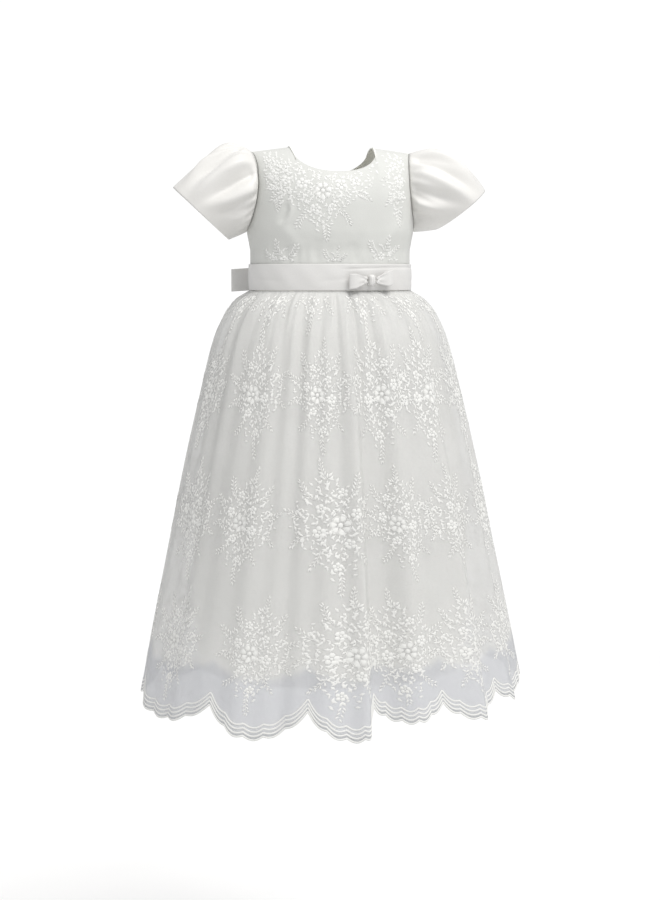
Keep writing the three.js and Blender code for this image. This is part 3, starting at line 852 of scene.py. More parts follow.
class Sleeves:
    """Two short puff sleeves of plain satin, gathered into the armholes."""

    wall: float = 1.0
    seam: float = 0.2
    under_puff: float = 1.0
    gathers: int = 12
    gather_height: float = 3.0
    cuff_turn: float = 5.0
    cloth_scale: tuple[float, float] = (0.3, 0.08)
    flat: tuple[float, float] = (0.27, 0.10)
    cut_share: float = 0.75

    def __init__(self, form: BodiceForm) -> None:
        """Takes the shape of the bodice that carries the sleeves."""
        self.form = form
        self.pieces: dict[str, bpy.types.Object] = {}

    def surface(self, cut: SleeveCut) -> Surface:
        """Surface of a sleeve, round the armhole and along its length."""
        tip, foot = np.array(cut.tip), np.array(cut.foot)
        middle, half = (tip + foot) / 2, (tip - foot) / 2
        half_height = float(np.hypot(*half))
        up = half / half_height

        def points(turn: Array, length: Array) -> Array:
            """Points of the sleeve."""
            turn = turn - np.floor(turn)
            around = turn * 2 * math.pi
            cosine, sine = np.cos(around), np.sin(around)
            head = self.form.armhole_point(turn, cut.side)
            head[..., 0] += cut.side * self.seam
            reach = middle[0] + up[0] * half_height * cosine + self.cuff_turn * sine * (cut.side < 0)
            cuff = points_of(cut.side * reach, -cut.half_depth * sine, middle[1] + up[1] * half_height * cosine)
            top = ((1 + cosine) / 2) ** 0.55
            out = points_of(np.where(cosine < 0, 0, cut.side * up[0] * cosine), -sine, up[1] * cosine)
            inside = np.clip(length, 0, 1)
            swell = np.maximum(0, np.sin(math.pi * inside**cut.lean)) ** 0.9
            swell = mix(self.under_puff, cut.puff, top) * swell
            nearness = np.exp(1 - inside / 0.13) * (inside / 0.13)
            uneven = 1 + 0.35 * np.sin(3 * around + 1.0) + 0.2 * np.sin(7 * around)
            fine = np.cos(self.gathers * around) + 0.45 * np.cos(29 * around + 1.3 * np.sin(2 * around))
            gather = self.gather_height * fine * uneven * nearness * top * 0.8
            fold = self.folds(cut, turn, inside) * (0.35 + 0.65 * top)
            return mix(head, cuff, np.asarray(length)[..., None]) + out * (swell + gather + fold)[..., None]

        return points

    def folds(self, cut: SleeveCut, turn: Array, length: Array) -> Array:
        """Height of the sleeve's soft folds."""
        total = np.zeros(np.broadcast(turn, length).shape)
        for middle, reach, spread, slant, height in cut.folds:
            away = turn - middle - slant * (length - 0.4)
            away = away - np.round(away)
            fade = smooth(length / 0.12) * smooth((reach - length) / 0.5)
            total = total + height * bump(away, spread) * fade
        return total

    def build(self) -> None:
        """Makes both sleeves."""
        lengths = stepped((0, 0.3, 1), (30, 34))
        for cut in SLEEVES:
            shell = ClothShell(self.surface(cut), np.linspace(0, 1, 241), lengths, self.wall, cut.side,
                               joined=True, uv_scale=self.cloth_scale)
            self.pieces[cut.node] = shell.build(f"{cut.node}_cloth")

    def dress(self, shop: Workshop) -> None:
        """Gives the sleeves their satin."""
        for name, piece in self.pieces.items():
            shop.dress(piece, SLEEVE_SATIN, Slot.SATIN, [name])


@dataclass
class SkirtForm:
    """Shape of the net skirt and its lining, in millimetres."""

    waist_z: float = -147.3
    length: float = 435.0
    lining_length: float = 393.0
    scallop_depth: float = 30.0
    lobes: int = 5
    lobe_depth: float = 3.2
    gather_height: float = 2.1
    gather_reach: float = 62.0
    net: SizeTable = SizeTable(
        ("drop", "half_width", "front", "back"),
        (
            (0, 84.6, 64.4, 61.4),
            (4, 90.0, 69.5, 67.0),
            (13, 99.5, 77.0, 76.0),
            (26, 108.5, 85.0, 85.0),
            (48, 118.0, 94.0, 95.0),
            (103, 131.0, 108.0, 109.0),
            (183, 148.0, 125.0, 126.0),
            (273, 164.5, 141.0, 142.0),
            (353, 179.0, 154.0, 155.0),
            (435, 193.0, 166.0, 167.0),
        ),
    )
    lining: SizeTable = SizeTable(
        ("drop", "half_width", "front", "back"),
        (
            (0, 83.0, 62.8, 59.8),
            (13, 91.0, 70.0, 68.0),
            (26, 99.0, 77.0, 76.0),
            (48, 108.0, 85.5, 85.5),
            (103, 122.0, 99.0, 99.5),
            (183, 135.0, 113.0, 113.5),
            (273, 141.0, 122.0, 122.5),
            (333, 140.0, 124.0, 124.5),
            (393, 135.0, 123.0, 123.5),
        ),
    )
    fold_rows: SizeTable = SizeTable(
        ("waist", "hem", "spread_right", "spread_left", "height", "lean"),
        (
            (-78, -80, 13, 12, 12, 0.0),
            (-53, -55, 11, 12, 8, 0.1),
            (-33, -34, 12, 11, 11, 0.1),
            (-16, -13, 9, 9, 8, 0.0),
            (-7, -5.5, 4, 3.5, -6, 0.0),
            (0.5, -2, 11, 4.5, 18, 0.8),
            (11, 9, 5, 5, -8, 0.0),
            (21, 20, 8, 8, 9, 0.1),
            (38, 37, 8, 6, 16, 0.4),
            (56, 57, 8, 7, 13, 0.1),
            (77, 79, 9, 9, 15, 0.1),
            (101, 101, 9, 10, 15, 0.0),
            (124, 124, 10, 10, 9, 0.1),
            (146, 147, 10, 9, 12, 0.1),
            (167, 168, 9, 9, 9, 0.0),
            (189, 190, 10, 9, 13, 0.1),
            (211, 212, 10, 10, 9, 0.0),
            (233, 234, 10, 9, 13, -0.1),
            (256, 256, 9, 10, 10, 0.0),
        ),
    )
    scallops: SizeTable = SizeTable(
        ("start", "length"),
        (
            (-90, 431),
            (-44, 435),
            (-15, 435),
            (5.5, 423),
            (26, 427),
            (50, 422),
            (78, 412),
            (112, 430),
            (146, 434),
            (180, 431),
            (210, 434),
            (240, 430),
            (270, 432),
        ),
    )

    @property
    def panel_scallops(self) -> int:
        """Number of scallops along one panel's hem."""
        return (len(self.scallops.rows) - 1) // 2

    @property
    def upper(self) -> float:
        """Length of the net down to where its scallops meet."""
        return self.length - self.scallop_depth

    def angle_of(self, place: Array) -> Array:
        """Angle of a place counted in scallops from the wearer's right side seam."""
        starts = self.scallops.column("start")
        return np.interp(place, np.arange(len(starts)), starts)

    def place_of(self, degrees: Array) -> Array:
        """Place, counted in scallops, of an angle."""
        starts = self.scallops.column("start")
        turned = np.mod(np.asarray(degrees, float) + 90, 360) - 90
        return np.interp(turned, starts, np.arange(len(starts)))

    def edge(self, place: Array) -> Array:
        """Length of the net at a place, with each scallop's small lobes."""
        low = np.clip(np.floor(place).astype(int), 0, len(self.scallops.rows) - 2)
        share = place - low
        arch = 1 - np.abs(2 * share - 1) ** 2.1
        lobe = np.abs(np.sin(self.lobes * math.pi * share))
        longest = self.scallops.column("length")[low]
        return self.upper + (longest - self.upper - self.lobe_depth) * arch + self.lobe_depth * lobe

    def folds(self, degrees: Array, share: Array) -> tuple[Array, Array]:
        """Outward and sideways reach of the big folds."""
        total = np.zeros(np.broadcast(degrees, share).shape)
        aside = np.zeros_like(total)
        for waist, hem, right, left, height, lean in self.fold_rows.rows:
            away = np.mod(degrees - mix(waist, hem, share) + 180, 360) - 180
            ridge = height * bump(away, np.where(away < 0, right, left))
            total = total + ridge
            aside = aside + lean * ridge
        grow = (0.1 + 0.9 * np.clip(share, 0, 1) ** 0.85) * smooth(share / 0.03)
        return total * grow, aside * grow * smooth(share / 0.3)

    def ripples(self, degrees: Array, drop: Array) -> Array:
        """Fine gathers under the waist and small waves lower down."""
        turn = np.radians(degrees)
        wander = 1.7 * np.sin(3 * turn + 0.6) + 0.9 * np.sin(7 * turn + 2.1)
        fine = np.cos(71 * turn + wander) + 0.7 * np.cos(113 * turn - 2 * wander + 1.0)
        gathers = 0.75 * fine * smooth(drop / 4) * np.exp(-np.maximum(drop, 0) / 34)
        waves = 1.3 * np.sin(37 * turn + wander + drop * 0.004) * smooth(drop / 60)
        return gathers + waves * (1 - 0.3 * smooth(drop / 400))

    def place_point(self, sections: SizeTable, degrees: Array, drop: Array, outward: Array,
                    aside: Array) -> Array:
        """Skirt cloth pushed out and sideways by its folds."""
        width = sections.read("half_width", drop)
        shifted = degrees + np.degrees(aside / width)
        return oval(shifted, width + outward, sections.read("front", drop) + outward,
                    sections.read("back", drop) + outward, self.waist_z - drop)

    def net_point(self, degrees: Array, drop: Array) -> Array:
        """Net at an angle and a drop below the waist seam."""
        fade = smooth(drop / 7) * np.exp(-np.maximum(0, drop) / self.gather_reach)
        gather = self.gather_height * np.cos(2 * math.pi * 2.5 * self.place_of(degrees)) * fade
        fold, aside = self.folds(degrees, drop / self.length)
        return self.place_point(self.net, degrees, drop, fold + gather + self.ripples(degrees, drop), aside)

    def net_surface(self, place: Array, share: Array) -> Array:
        """Net by place along the scallops, and share from the waist to the scalloped edge."""
        low = self.upper
        drop = share * low + (self.edge(place) - low) * np.clip(share, 0, 1) ** 6
        return self.net_point(self.angle_of(place), drop)

    def lining_surface(self, degrees: Array, share: Array) -> Array:
        """Lining by angle, and share from the waist to its hem."""
        drop = share * self.lining_length
        fold, aside = self.folds(degrees, drop / self.length)
        waves = 0.5 * self.ripples(degrees, drop) * smooth(drop / 30)
        return self.place_point(self.lining, degrees, drop, 0.4 * fold + waves, 0.3 * aside)


class Skirt:
    """Gathered net skirt over a straight-cut lining, each a front and a back panel."""

    net_wall: float = 0.7
    lining_wall: float = 1.0
    seam_gap: float = 0.0045
    net_scale: tuple[float, float] = (0.094, 0.42)
    lining_scale: tuple[float, float] = (0.0024, 0.393)
    net_flat: tuple[float, float] = (0.62, 0.437)
    net_share: float = 0.8
    lining_flat: tuple[float, float] = (0.43, 0.395)
    lining_share: float = 0.92

    def __init__(self, form: SkirtForm) -> None:
        """Takes the skirt's shape."""
        self.form = form
        self.net: dict[str, bpy.types.Object] = {}
        self.lining: dict[str, bpy.types.Object] = {}

    def build(self) -> None:
        """Makes the four panels."""
        shares = stepped((0, 0.12, 0.85, 1), (18, 30, 10))
        rows = stepped((0, 0.1, 1), (12, 32))
        width = self.form.panel_scallops
        for half, name in enumerate(("front", "back")):
            places = np.linspace(half * width, (half + 1) * width, 241)
            places[0] += self.seam_gap
            places[-1] -= self.seam_gap
            self.net[f"skirt_net_{name}"] = ClothShell(
                self.form.net_surface, places, shares, self.net_wall, -1,
                uv_scale=self.net_scale).build(f"skirt_net_{name}_cloth")
            angles = np.linspace(-90 + SEAM_ANGLE, 90 - SEAM_ANGLE, 181) + 180 * half
            self.lining[f"skirt_lining_{name}"] = ClothShell(
                self.form.lining_surface, angles, rows, self.lining_wall, -1,
                uv_scale=self.lining_scale).build(f"skirt_lining_{name}_cloth")

    def dress(self, shop: Workshop) -> None:
        """Gives the panels their cloth."""
        for name, piece in self.net.items():
            shop.dress(piece, SKIRT_NET, Slot.NET, [name])
        for name, piece in self.lining.items():
            shop.dress(piece, LINING_SATIN, Slot.LINING, [name])


class Sash:
    """Satin ribbon sash, laid on the bodice just above the waist seam."""

    height: float = 27.0
    lift: float = 1.75
    wall: float = 1.0
    cloth_scale: tuple[float, float] = (0.0013, 0.027)
    flat: tuple[float, float] = (0.235, 0.029)

    def __init__(self, form: BodiceForm) -> None:
        """Takes the shape of the bodice that carries the sash."""
        self.form = form
        self.pieces: dict[str, bpy.types.Object] = {}

    def plain(self, degrees: Array, share: Array) -> Array:
        """Outside of the sash without its wrinkles."""
        row = self.form.sections.rows[0]
        return oval(degrees, row[1] + self.lift, row[2] + self.lift, row[3] + self.lift,
                    self.form.waist_z + share * self.height)

    def surface(self, degrees: Array, share: Array) -> Array:
        """Outside of the sash with its wrinkles and turned upper fold."""
        found = self.plain(degrees, share)
        turn = np.radians(degrees)
        fold_height = 0.82 + 0.05 * np.sin(turn * 2 - 0.4)
        on_left = smooth((np.mod(degrees + 90, 360) - 88) / 12) * smooth((200 - np.mod(degrees + 90, 360)) / 20)
        groove = -0.55 * bump(share - fold_height, 0.045) * on_left
        slack = 0.22 * np.sin(19 * turn + 4 * share) * np.sin(math.pi * share)
        pull = -0.3 * bump(share - 0.42 - 0.1 * np.sin(3 * turn), 0.09) * (0.5 + 0.5 * np.sin(5 * turn + 1))
        outward = unit(points_of(found[..., 0], found[..., 1], 0 * found[..., 2]))
        crown = 0.35 * np.sin(math.pi * np.clip(share, 0, 1))
        return found + outward * (groove + slack + pull + crown)[..., None]

    def build(self) -> None:
        """Makes the front and back lengths."""
        for name, middle in (("front", 0), ("back", 180)):
            angles = np.linspace(-90 + SEAM_ANGLE, 90 - SEAM_ANGLE, 161) + middle
            self.pieces[f"sash_{name}"] = ClothShell(
                self.surface, angles, np.linspace(0, 1, 33), self.wall, 1,
                uv_scale=self.cloth_scale).build(f"sash_{name}_cloth")

    def dress(self, shop: Workshop) -> None:
        """Gives the sash its satin."""
        for name, piece in self.pieces.items():
            shop.dress(piece, SASH_SATIN, Slot.SASH, [name])


@dataclass(frozen=True)
class BowCut:
    """Sizes of a ribbon bow, in millimetres.

    Args:
        prefix: Start of its nodes' names.
        angle: Where it sits round the sash.
        z: Height of its knot.
        knot: The knot's half width, half depth and half height.
        length: How far a loop reaches from the knot.
        height: The ribbon's width at the loop's end.
        depth: Half the loop's hollow.
        droops: Fall of the right and left loop's far end.
        creases: Depth of the creases that run out from the knot.
    """

    prefix: str
    angle: float
    z: float
    knot: tuple[float, float, float]
    length: float
    height: float
    depth: float
    droops: tuple[float, float]
    creases: float


FRONT_BOW = BowCut("front_bow", 21, -136.5, (3.6, 4.2, 5.6), 19, 15, 3.6, (1.5, -3.0), 0.7)
BACK_BOW = BowCut("back_bow", 180, -133, (9, 6.5, 12), 86, 24, 7.5, (4.0, 4.0), 1.3)


class Bow:
    """Ribbon bow on the sash: two loops and a wrapped knot."""

    wall: float = 1.1
    gap: float = 0.3
    ease: float = 1.3
    ribbon_share: float = 2.1
    knot_fill: float = 0.5

    def __init__(self, cut: BowCut, sash: Sash) -> None:
        """Takes the bow's cut and the sash that carries it."""
        self.cut = cut
        share = (cut.z - sash.form.waist_z) / sash.height
        self.seat = sash.plain(np.array(cut.angle), np.array(share))
        aside = sash.plain(np.array(cut.angle + 1.0), np.array(share))
        aside = unit(aside - sash.plain(np.array(cut.angle - 1.0), np.array(share)))
        self.aside = -aside if math.cos(math.radians(cut.angle)) < 0 else aside
        out = unit(self.seat * np.array([1.0, 1.0, 0.0]))
        self.out = unit(out - self.aside * float(np.dot(out, self.aside)))
        self.pieces: dict[str, bpy.types.Object] = {}
        self.knot: bpy.types.Object | None = None

    def loop(self, side: int, droop: float) -> Surface:
        """Outside of a ribbon loop, round the loop and across the ribbon."""
        cut = self.cut

        def surface(around: Array, width: Array) -> Array:
            """Points of the loop."""
            turn = around * 2 * math.pi
            reach = (1 - np.cos(turn)) / 2
            hollow = mix(0.5, cut.depth, smooth(reach * 1.25)) * np.sin(turn)
            tall = cut.height / 2 * mix(0.42, 1.0, smooth(reach * 1.3))
            rays = np.cos(width * 5.2 + 0.7 * np.sin(turn)) * bump(reach - 0.18, 0.3) * cut.creases
            out = self.gap + self.ease + cut.depth + self.gap + hollow - 1.5 * reach
            out = out + rays * 0.55 * np.sign(np.sin(turn)) * np.abs(np.sin(turn)) ** 0.5
            aside = side * (cut.knot[0] + self.gap + self.ease + reach * cut.length)
            up = width * tall - droop * reach**1.5 + 0.04 * cut.height * np.sin(math.pi * reach) * (1 - width**2)
            base = self.seat + self.aside * aside[..., None] + self.out * out[..., None]
            base[..., 2] += up
            return base

        return surface

    def build(self) -> None:
        """Makes the loops and the knot."""
        hand = 1 if np.cross(self.aside, self.out)[2] > 0 else -1
        scale = (0.002 * self.cut.length, 0.0005 * self.cut.height)
        for label, side, droop in (("right", -1, self.cut.droops[0]), ("left", 1, self.cut.droops[1])):
            name = f"{self.cut.prefix}_loop_{label}"
            shell = ClothShell(self.loop(side, droop), np.linspace(0, 1, 97), np.linspace(-1, 1, 17), self.wall,
                               -hand * side, joined=True, uv_scale=scale)
            self.pieces[name] = shell.build(f"{name}_ribbon")
        self.knot = self.wrap_knot(f"{self.cut.prefix}_knot")

    def wrap_knot(self, name: str) -> bpy.types.Object:
        """Makes the plump wrapped knot with its upright creases."""
        half_width, half_depth, half_height = self.cut.knot
        around, up = np.meshgrid(np.linspace(0, 1, 49)[:-1], np.linspace(-1, 1, 25)[1:-1], indexing="ij")
        turn, lean = around * 2 * math.pi, up * math.pi / 2
        ball = points_of(np.cos(turn) * np.cos(lean), np.sin(turn) * np.cos(lean), np.sin(lean))
        ball = ball * (np.sum(np.abs(ball) ** 3, axis=-1, keepdims=True)) ** (-1 / 3)
        crease = 1 - 0.07 * np.cos(ball[..., 0] * 9 + 0.6 * ball[..., 2]) * np.cos(lean) ** 2
        waist = 1 - 0.12 * bump(ball[..., 2], 0.5)
        centre = self.seat + self.out * (half_depth + self.gap)
        local = points_of(ball[..., 0] * half_width * waist, ball[..., 1] * half_depth * crease,
                          ball[..., 2] * half_height)
        grid = centre + self.aside * local[..., 0:1] + self.out * local[..., 1:2]
        grid[..., 2] += local[..., 2]
        columns, rows = grid.shape[:2]
        caps = [centre + np.array([0, 0, -half_height]), centre + np.array([0, 0, half_height])]
        points = np.concatenate([grid.reshape(-1, 3), np.array(caps)])
        i, j = np.meshgrid(np.arange(columns), np.arange(rows - 1), indexing="ij")

        def near(column: Array, row: Array) -> Array:
            """Indices of the knot's points."""
            return ((column % columns) * rows + row).ravel()

        lower = np.stack([near(i, j), near(i + 1, j), near(i + 1, j + 1)], axis=-1)
        upper = np.stack([near(i, j), near(i + 1, j + 1), near(i, j + 1)], axis=-1)
        ring = np.arange(columns)
        first = np.stack([near(ring + 1, 0 * ring), near(ring, 0 * ring), 0 * ring + columns * rows], axis=-1)
        last = np.stack([near(ring, 0 * ring + rows - 1), near(ring + 1, 0 * ring + rows - 1),
                         0 * ring + columns * rows + 1], axis=-1)
        faces = np.concatenate([lower, upper, first, last])
        flat = np.concatenate([np.stack([around, up], axis=-1).reshape(-1, 2), [[0.5, -1], [0.5, 1]]])
        return make_piece(f"{name}_ribbon", points, faces, flat[faces] * 0.001 * half_height * 2)

    def dress(self, shop: Workshop) -> None:
        """Gives the bow its satin."""
        for name, piece in self.pieces.items():
            shop.dress(piece, SASH_SATIN, Slot.SASH, [name])
        shop.dress(self.knot, SASH_SATIN, Slot.SASH, [f"{self.cut.prefix}_knot"])


@dataclass(frozen=True)
class TailCut:
    """One sash tail lying on the skirt behind.

    Args:
        node: The solid it stands for.
        top_angle: Angle at the knot.
        end_angle: Angle at its end.
        length: Its length, in millimetres.
    """

    node: str
    top_angle: float
    end_angle: float
    length: float


TAILS = (TailCut("back_bow_tail_right", 185.6, 190.5, 236), TailCut("back_bow_tail_left", 174.4, 168, 222))


class Tails:
    """Two ribbon tails of the tied sash, hanging on the net behind."""

    top_half: float = 6.0
    half: float = 13.0
    slant: float = 14.0
    lift: float = 2.3
    wall: float = 1.0
    flat_width: float = 0.027
    cut_share: float = 0.97

    def __init__(self, form: SkirtForm) -> None:
        """Takes the shape of the skirt that the tails lie on."""
        self.form = form
        self.pieces: dict[str, bpy.types.Object] = {}

    def surface(self, cut: TailCut) -> Surface:
        """Outside of a tail, across the ribbon and down its length."""

        def net(degrees: Array, drop: Array) -> Array:
            """Net under the tail, over its gathers."""
            fold, aside = self.form.folds(degrees, drop / self.form.length)
            gather = self.form.gather_height * np.exp(-np.maximum(drop, 0) / self.form.gather_reach)
            return self.form.place_point(self.form.net, degrees, drop, fold + gather + 1.0, aside)

        def points(width: Array, share: Array) -> Array:
            """Points of the tail."""
            drop = share * (cut.length + self.slant * width * share**2)
            half = mix(self.top_half, self.half, smooth(drop / 45))
            around = self.form.net.read("half_width", drop)
            angle = mix(cut.top_angle, cut.end_angle, np.clip(drop / cut.length, 0, 1))
            angle = angle + np.degrees(width * half / around)
            crease = 0.9 * np.cos(width * 4.5 + 0.5) * np.exp(-drop / 40)
            wave = 0.8 * np.sin(drop * 0.045 + width) * smooth(drop / 60)
            normal = -normals_of(net, angle, drop, 0.1, 0.1)
            normal = normal * np.sign(np.sum(normal * net(angle, drop) * [1, 1, 0], axis=-1, keepdims=True))
            return net(angle, drop) + normal * (self.lift + crease + np.abs(wave))[..., None]

        return points

    def build(self) -> None:
        """Makes both tails."""
        for cut in TAILS:
            shares = np.linspace(3 / cut.length, 1, 90)
            shell = ClothShell(self.surface(cut), np.linspace(-1, 1, 17), shares, self.wall, -1,
                               uv_scale=(0.013, 0.001 * cut.length))
            self.pieces[cut.node] = shell.build(f"{cut.node}_ribbon")

    def dress(self, shop: Workshop) -> None:
        """Gives the tails their satin."""
        for cut in TAILS:
            piece = self.pieces[cut.node]
            shop.dress(piece, SASH_SATIN, Slot.SASH, [cut.node])


class StitchWork:
    """Raised stitches drawn flat, as across, up and height in millimetres."""

    root: float = 0.12

    def __init__(self) -> None:
        """Starts with nothing sewn."""
        self.points: list[Array] = []
        self.faces: list[Array] = []
        self.uvs: list[Array] = []
        self.owner: list[Array] = []
        self.count = 0
        self.elements = 0

    def take(self, points: Array, faces: Array, uv: Array) -> None:
        """Adds one closed stitched element."""
        self.points.append(points)
        self.faces.append(faces + self.count)
        self.uvs.append(uv)
        self.owner.append(np.full(len(points), self.elements))
        self.count += len(points)
        self.elements += 1

    def pad(self, outline: Array, height: float, lengthwise: Array) -> None:
        """Sews a filled shape.

        Args:
            outline: Corners of the shape, across and up.
            height: How far it stands out.
            lengthwise: Direction that its stitches follow each other in.
        """
        count = len(outline)
        centre = outline.mean(axis=0)
        rings = [np.column_stack([outline, np.full(count, -self.root)]),
                 np.column_stack([mix(centre, outline, 0.78), np.full(count, height)]),
                 [[*centre, height * 1.1], [*centre, -self.root]]]
        points = np.concatenate(rings)
        ring, after = np.arange(count), (np.arange(count) + 1) % count
        faces = np.concatenate([
            np.column_stack([ring, after, after + count]),
            np.column_stack([ring, after + count, ring + count]),
            np.column_stack([ring + count, after + count, 0 * ring + 2 * count]),
            np.column_stack([after, ring, 0 * ring + 2 * count + 1]),
        ])
        along = points[:, :2] @ lengthwise
        across = points[:, :2] @ np.array([-lengthwise[1], lengthwise[0]])
        self.take(points, faces, np.column_stack([along, across]))

    def leaf(self, start: Array, end: Array, width: float, height: float, corners: int = 6) -> None:
        """Sews a pointed leaf between two places."""
        run = np.subtract(end, start)
        length = float(np.hypot(*run))
        along = run / length
        aside = np.array([-along[1], along[0]])
        half = corners // 2
        way = np.concatenate([np.linspace(0, 1, half + 1), np.linspace(1, 0, half + 1)[1:-1]])
        side = np.concatenate([np.ones(half + 1), -np.ones(half - 1)])
        swell = np.sin(math.pi * way**0.85) * side * width / 2
        outline = np.asarray(start) + way[:, None] * run + swell[:, None] * aside
        self.pad(outline[::-1], height, along)

    def disc(self, centre: Array, radius: float, height: float, corners: int = 6) -> None:
        """Sews a round knot."""
        turn = np.linspace(0, 2 * math.pi, corners, endpoint=False)
        outline = np.asarray(centre) + radius * np.column_stack([np.cos(turn), np.sin(turn)])
        self.pad(outline, height, np.array([1.0, 0.0]))

    def cord(self, path: Array, width: float, height: float) -> None:
        """Sews a narrow cord along a path."""
        path = np.asarray(path, float)
        run = np.gradient(path, axis=0)
        run = run / np.maximum(np.hypot(run[:, 0], run[:, 1]), 1e-6)[:, None]
        aside = np.column_stack([-run[:, 1], run[:, 0]])
        taper = width / 2 * np.where(np.arange(len(path)) % (len(path) - 1) == 0, 0.6, 1.0)[:, None]
        count = len(path)
        points = np.concatenate([
            np.column_stack([path - aside * taper, np.full(count, -self.root)]),
            np.column_stack([path, np.full(count, height)]),
            np.column_stack([path + aside * taper, np.full(count, -self.root)]),
        ])
        step = np.arange(count - 1)
        faces = []
        for near, far in ((0, 1), (1, 2), (2, 0)):
            faces.append(np.column_stack([near * count + step, near * count + step + 1, far * count + step + 1]))
            faces.append(np.column_stack([near * count + step, far * count + step + 1, far * count + step]))
        last = count - 1
        faces.append(np.array([[0, count, 2 * count], [last, 2 * count + last, count + last]]))
        way = np.concatenate([[0], np.cumsum(np.hypot(*np.diff(path, axis=0).T))])
        uv = np.column_stack([np.tile(way, 3), np.repeat([0, width / 2, width], count)])
        self.take(points, np.concatenate(faces), uv)

    def frond(self, start: Array, end: Array, bow: float, pairs: int, leaf: float) -> None:
        """Sews a curved stem with slender, slightly uneven leaves on both sides and one at its tip."""
        start, end = np.asarray(start, float), np.asarray(end, float)
        run = end - start
        length = float(np.hypot(*run))
        ahead = run / length
        aside = np.array([-ahead[1], ahead[0]])
        way = np.linspace(0, 1, 7)
        path = start + way[:, None] * run + (bow * 4 * way * (1 - way))[:, None] * aside
        self.cord(path, 0.8, 0.3)
        for count in range(2 * pairs):
            hand = 1 if count % 2 else -1
            share = 0.1 + 0.86 * count / (2 * pairs - 1)
            uneven = math.sin(12.9 * count + start[0] + 0.7 * start[1])
            base = start + share * run + bow * 4 * share * (1 - share) * aside
            line = ahead + bow * 4 * (1 - 2 * share) / length * aside
            line = line / np.hypot(*line)
            out = hand * np.array([-line[1], line[0]])
            size = leaf * (1.02 - 0.3 * share) * (1 + 0.16 * uneven)
            lean = 0.74 + 0.16 * uneven
            foot = base + 0.3 * out
            tip = foot + size * (math.cos(lean) * line + math.sin(lean) * out)
            self.leaf(foot, tip, size * 0.34, 0.26)
        self.leaf(path[-1], path[-1] + leaf * 0.8 * ahead, leaf * 0.3, 0.26)

    def daisy(self, centre: Array, radius: float, petals: int) -> None:
        """Sews a flower of pointed petals with corded edges."""
        centre = np.asarray(centre, float)
        for petal in range(petals):
            turn = 2 * math.pi * (petal + 0.25) / petals
            along = np.array([math.cos(turn), math.sin(turn)])
            aside = np.array([-along[1], along[0]])
            width = 2 * radius * math.sin(math.pi / petals) * 0.88
            way = np.array([0.0, 0.35, 0.72, 0.94, 1.0, 0.94, 0.72, 0.35])
            side = np.array([0.0, 0.62, 1.0, 0.62, 0.0, -0.62, -1.0, -0.62])
            reach = mix(0.2, 1.0, way) * radius * (1 + 0.06 * math.sin(5.0 * petal + radius))
            outline = centre + reach[:, None] * along + (side * width / 2)[:, None] * aside
            middle = outline.mean(axis=0)
            self.pad(mix(middle, outline, 0.88), 0.12, along)
            self.cord(mix(middle, np.concatenate([outline[1:], outline[:2]]), 0.98), 0.9, 0.36)
        self.disc(centre, radius * 0.28, 0.3, 8)

    def blossom(self, centre: Array, radius: float, turn: float) -> None:
        """Sews a small flower of five round petals."""
        for petal in range(5):
            angle = turn + 2 * math.pi * petal / 5
            away = 0.58 * radius
            self.disc(np.add(centre, [away * math.cos(angle), away * math.sin(angle)]), 0.40 * radius, 0.22)
        self.disc(centre, 0.24 * radius, 0.32)

    def thicket(self, rows: Sequence[tuple[float, float]], step: float, leaf: float,
                flowers: Sequence[tuple[Array, float]]) -> None:
        """Sews a ragged patch of short slanting leaves round the flowers.

        Args:
            rows: Height and half width of the patch, from its foot up.
            step: Distance between leaves.
            leaf: Length of a leaf.
            flowers: Centre and radius of each flower to go round.
        """
        heights, halves = np.array(rows, float).T
        for row, up in enumerate(np.arange(heights[0], heights[-1], 0.78 * step)):
            half = float(np.interp(up, heights, halves)) * (1 + 0.22 * math.sin(2.7 * row))
            for place in range(max(1, int(2 * half / step))):
                uneven = math.sin(37.1 * row + 17.3 * place + 0.3 * row * place)
                x = -half + (place + 0.5 * (row % 2)) * step + 1.0 * uneven
                foot = np.array([x, up + 0.9 * math.sin(23.7 * place + 5.1 * row)])
                if any(np.hypot(*(foot - centre)) < 0.98 * radius for centre, radius in flowers):
                    continue
                lean = 0.028 * x + (0.8 if (place + row // 2) % 2 else -0.8) + 0.45 * uneven
                size = leaf * (1 + 0.22 * math.sin(11.3 * place + 3.9 * row))
                self.leaf(foot, foot + size * np.array([math.sin(lean), math.cos(lean)]), 0.4 * size, 0.2, 4)

    def drawn(self) -> tuple[Array, Array]:
        """Flat points and faces of all the stitches."""
        return np.concatenate(self.points), np.concatenate(self.faces)

    def trimmed(self, points: Array, faces: Array, bad: Array) -> tuple[Array, Array, Array]:
        """Leaves out each stitched element that reaches off its panel.

        Args:
            points: Where the stitches' points lie on the gown.
            faces: The stitches' faces.
            bad: True for each point that is off the panel.

        Returns:
            Points, faces and cloth coordinates of the stitches that stay.
        """
        owner, uv = np.concatenate(self.owner), np.concatenate(self.uvs)
        spoiled = np.zeros(self.elements, dtype=bool)
        np.logical_or.at(spoiled, owner, bad)
        used, fresh = np.unique(faces[~spoiled[owner[faces[:, 0]]]], return_inverse=True)
        return points[used], fresh.reshape(-1, 3), uv[used]


